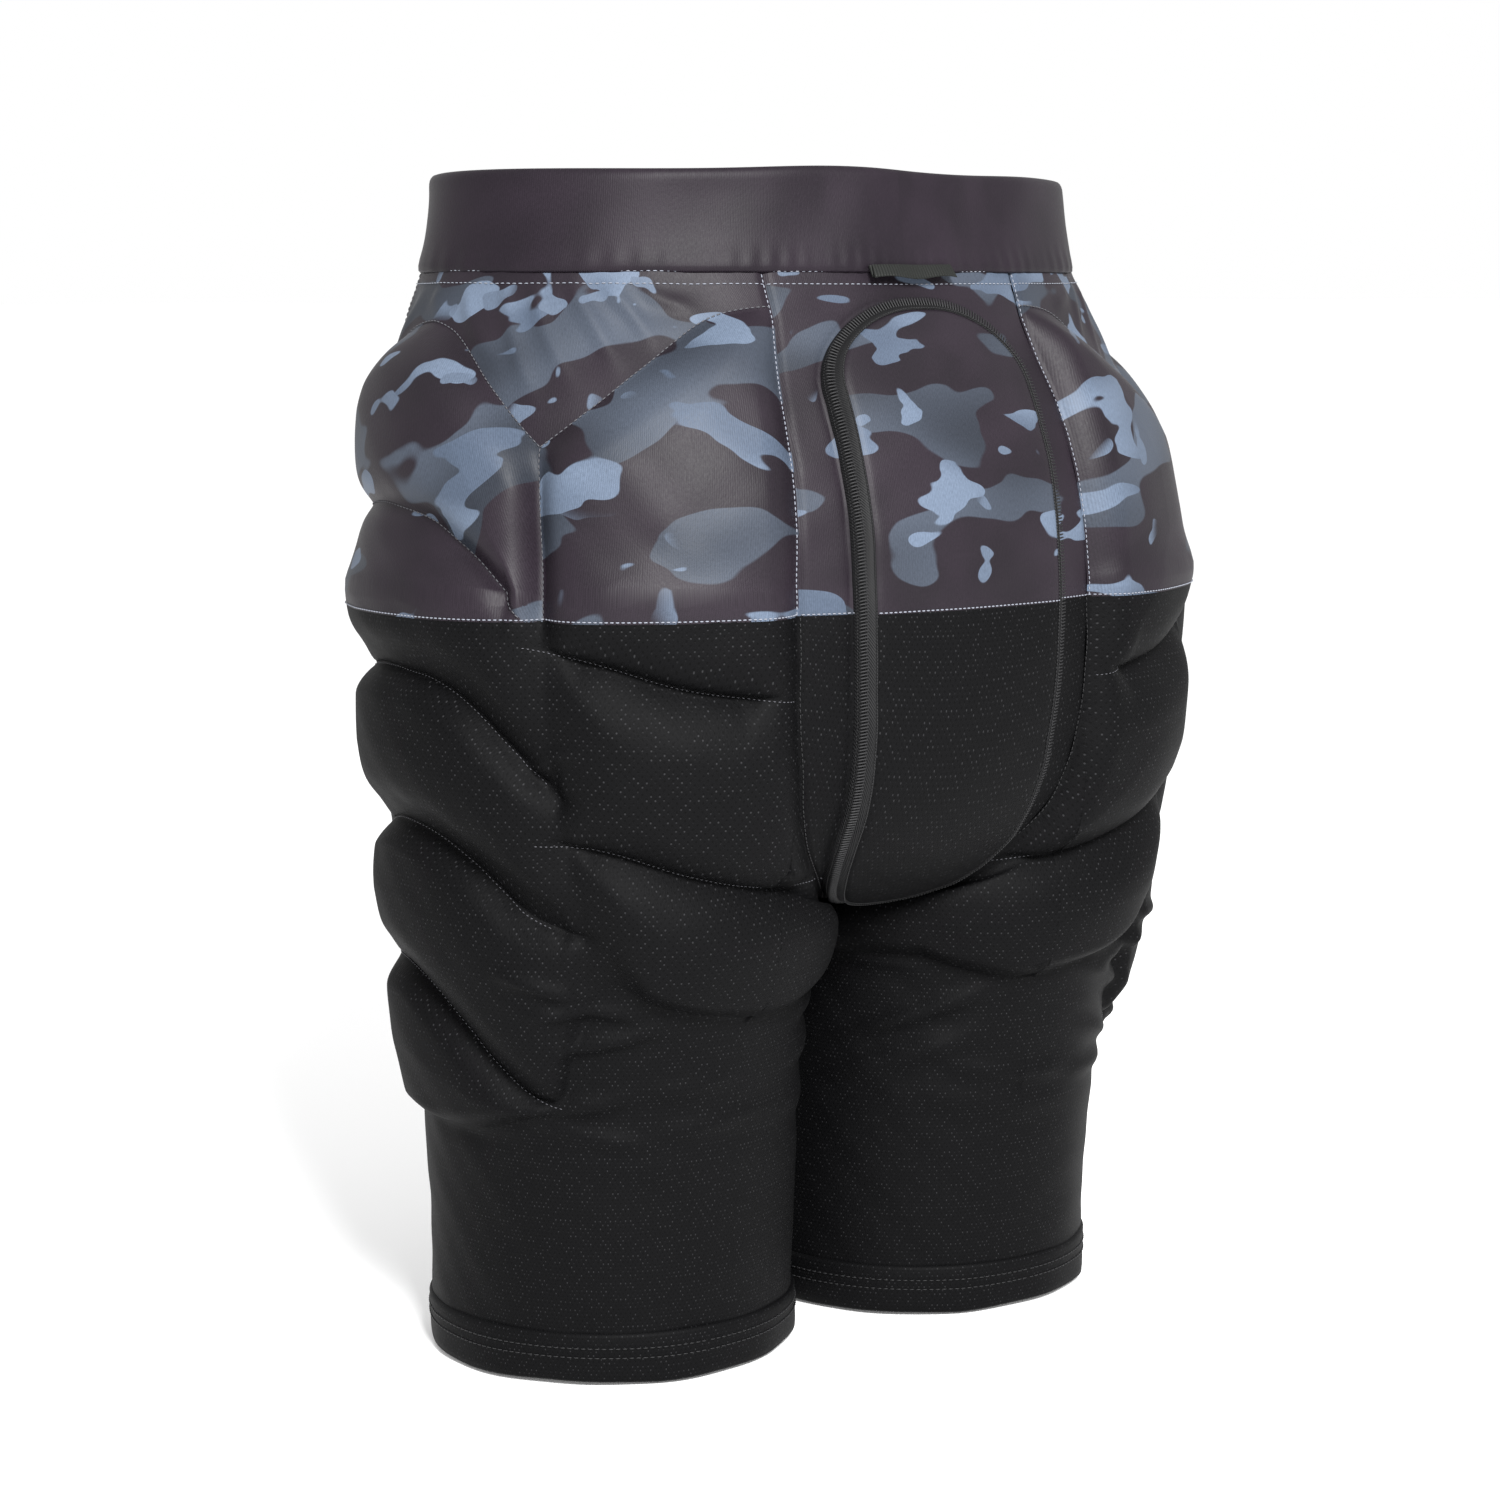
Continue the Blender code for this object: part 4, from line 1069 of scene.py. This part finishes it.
for side in (1, -1):
    points, normal = middle_fabric(soft_curve(MIDDLE_HALF, angles) - 0.0006, angles, 0.0004)
    seams.append((points * (side, 1, 1), normal * (side, 1, 1)))
gusset_rows = stitch_mesh("gusset_seam_stitches", seams, BLACK_THREAD, long=0.0017, pitch=0.0023)
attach(gusset_rows, "hips")


# ---- Lining ----
def lining(word, side):
    u, v = unit_grid(150, 110)
    low, high = -0.400, BAND_SEAM + 0.004
    z = low + (high - low) * v
    first = np.maximum(back_edge(z), -88)
    angle = first + (FRONT_SEAM - first) * u
    flat = side_point(angle, z)
    normal = outward(flat)
    dimple = 0.0005 * np.sin(angle * 0.9) * np.sin(z * 260)
    points = (flat + normal * (0.0009 + dimple)[..., None]) * (side, 1, 1)
    where = np.stack([np.radians(angle) * ROUND * side, z], -1)
    return grid_object(f"lining_{word}", points, where, LINING)


for side, word in ((1, "left"), (-1, "right")):
    piece = lining(word, side)
    follow(piece)
    stands_for(piece, "lining_mesh", f"leg_lining_{word}", f"pocket_lining_{word}")

# ---- The folded label ----
LABEL_HALF, LABEL_DROP = 0.021, 0.0062
u, v = unit_grid(60, 12)
x = -0.002 + (2 * u - 1) * LABEL_HALF * (1 - 0.06 * v)
fold = np.abs(v - 0.5) * 2
z = BAND_SEAM + 0.0006 - LABEL_DROP * (1 - fold)
spread = 0.0010 + 0.0006 * np.sin(math.pi * v) + 0.0003 * np.sin(9 * u + 1)
z = z + 0.0006 * np.sin(3 * math.pi * u) * (1 - fold)
base = ring_point(np.degrees(np.arctan2(x, 0.086 + 0 * x)), z)
out = outward(base)
stand = 0.0068 + np.where(v < 0.5, 0.0, spread) + 0.0011 * (1 - fold)
points = base + out * stand[..., None]
label = grid_object("folded_label", points, np.stack([x, z + v * 0.01], -1), LABEL)
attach(label, "hips")
stands_for(label, "seam_tape", "woven_label")

# ---- Floor, light and camera ----
FLOOR = -0.5004
FLOOR_SIZE = 120
KEY_AZIMUTH, KEY_ELEVATION, KEY_DISTANCE = 160, 32, 2.2
KEY_SIZE, KEY_POWER = 0.62, 105
CAMERA_AT = (0.8762, 1.2150, -0.0449)

bpy.ops.mesh.primitive_plane_add(size=FLOOR_SIZE, location=(0, 0, FLOOR))
floor = bpy.context.object
floor.name = "floor"
ground = Nodes("pale_floor")
dust = ground.noise(ground.add("ShaderNodeTexCoord").outputs["Object"], 3.0, 3)
ground.set(Base_Color=ground.mix(dust, colour(0.90, 0.90, 0.90), colour(0.93, 0.93, 0.93)),
           Roughness=0.9, Specular_IOR_Level=0.1, Emission_Color=colour(1, 1, 1),
           Emission_Strength=0.12)
floor.data.materials.append(ground.material)

world = bpy.context.scene.world or bpy.data.worlds.new("studio")
bpy.context.scene.world = world
world.use_nodes = True
sky = world.node_tree.nodes["Background"]
sky.inputs["Color"].default_value = colour(1, 1, 1)
sky.inputs["Strength"].default_value = 1.0
bpy.context.scene.view_settings.view_transform = "Standard"


def direction(azimuth, elevation):
    """From the shorts outwards. Azimuth 0 is in front and 90 is at the wearer's left."""
    a, e = math.radians(azimuth), math.radians(elevation)
    return Vector((math.sin(a) * math.cos(e), -math.cos(a) * math.cos(e), math.sin(e)))


def place(name, data, location, facing):
    """A light or camera that looks back along a direction."""
    made = bpy.data.objects.new(name, data)
    bpy.context.scene.collection.objects.link(made)
    made.location = location
    made.rotation_mode = "QUATERNION"
    made.rotation_quaternion = facing.to_track_quat("Z", "Y")
    return made


key = bpy.data.lights.new("key", "AREA")
key.shape = "SQUARE"
key.size = KEY_SIZE
key.energy = KEY_POWER
towards_key = direction(KEY_AZIMUTH, KEY_ELEVATION)
place("key", key, Vector((0, 0, -0.2)) + towards_key * KEY_DISTANCE, towards_key)

camera = bpy.data.cameras.new("camera")
camera.lens = 81.6
camera.sensor_width = 36.0
camera.shift_x = -0.0109
bpy.context.scene.camera = place("camera", camera, CAMERA_AT, direction(144, 7.86))
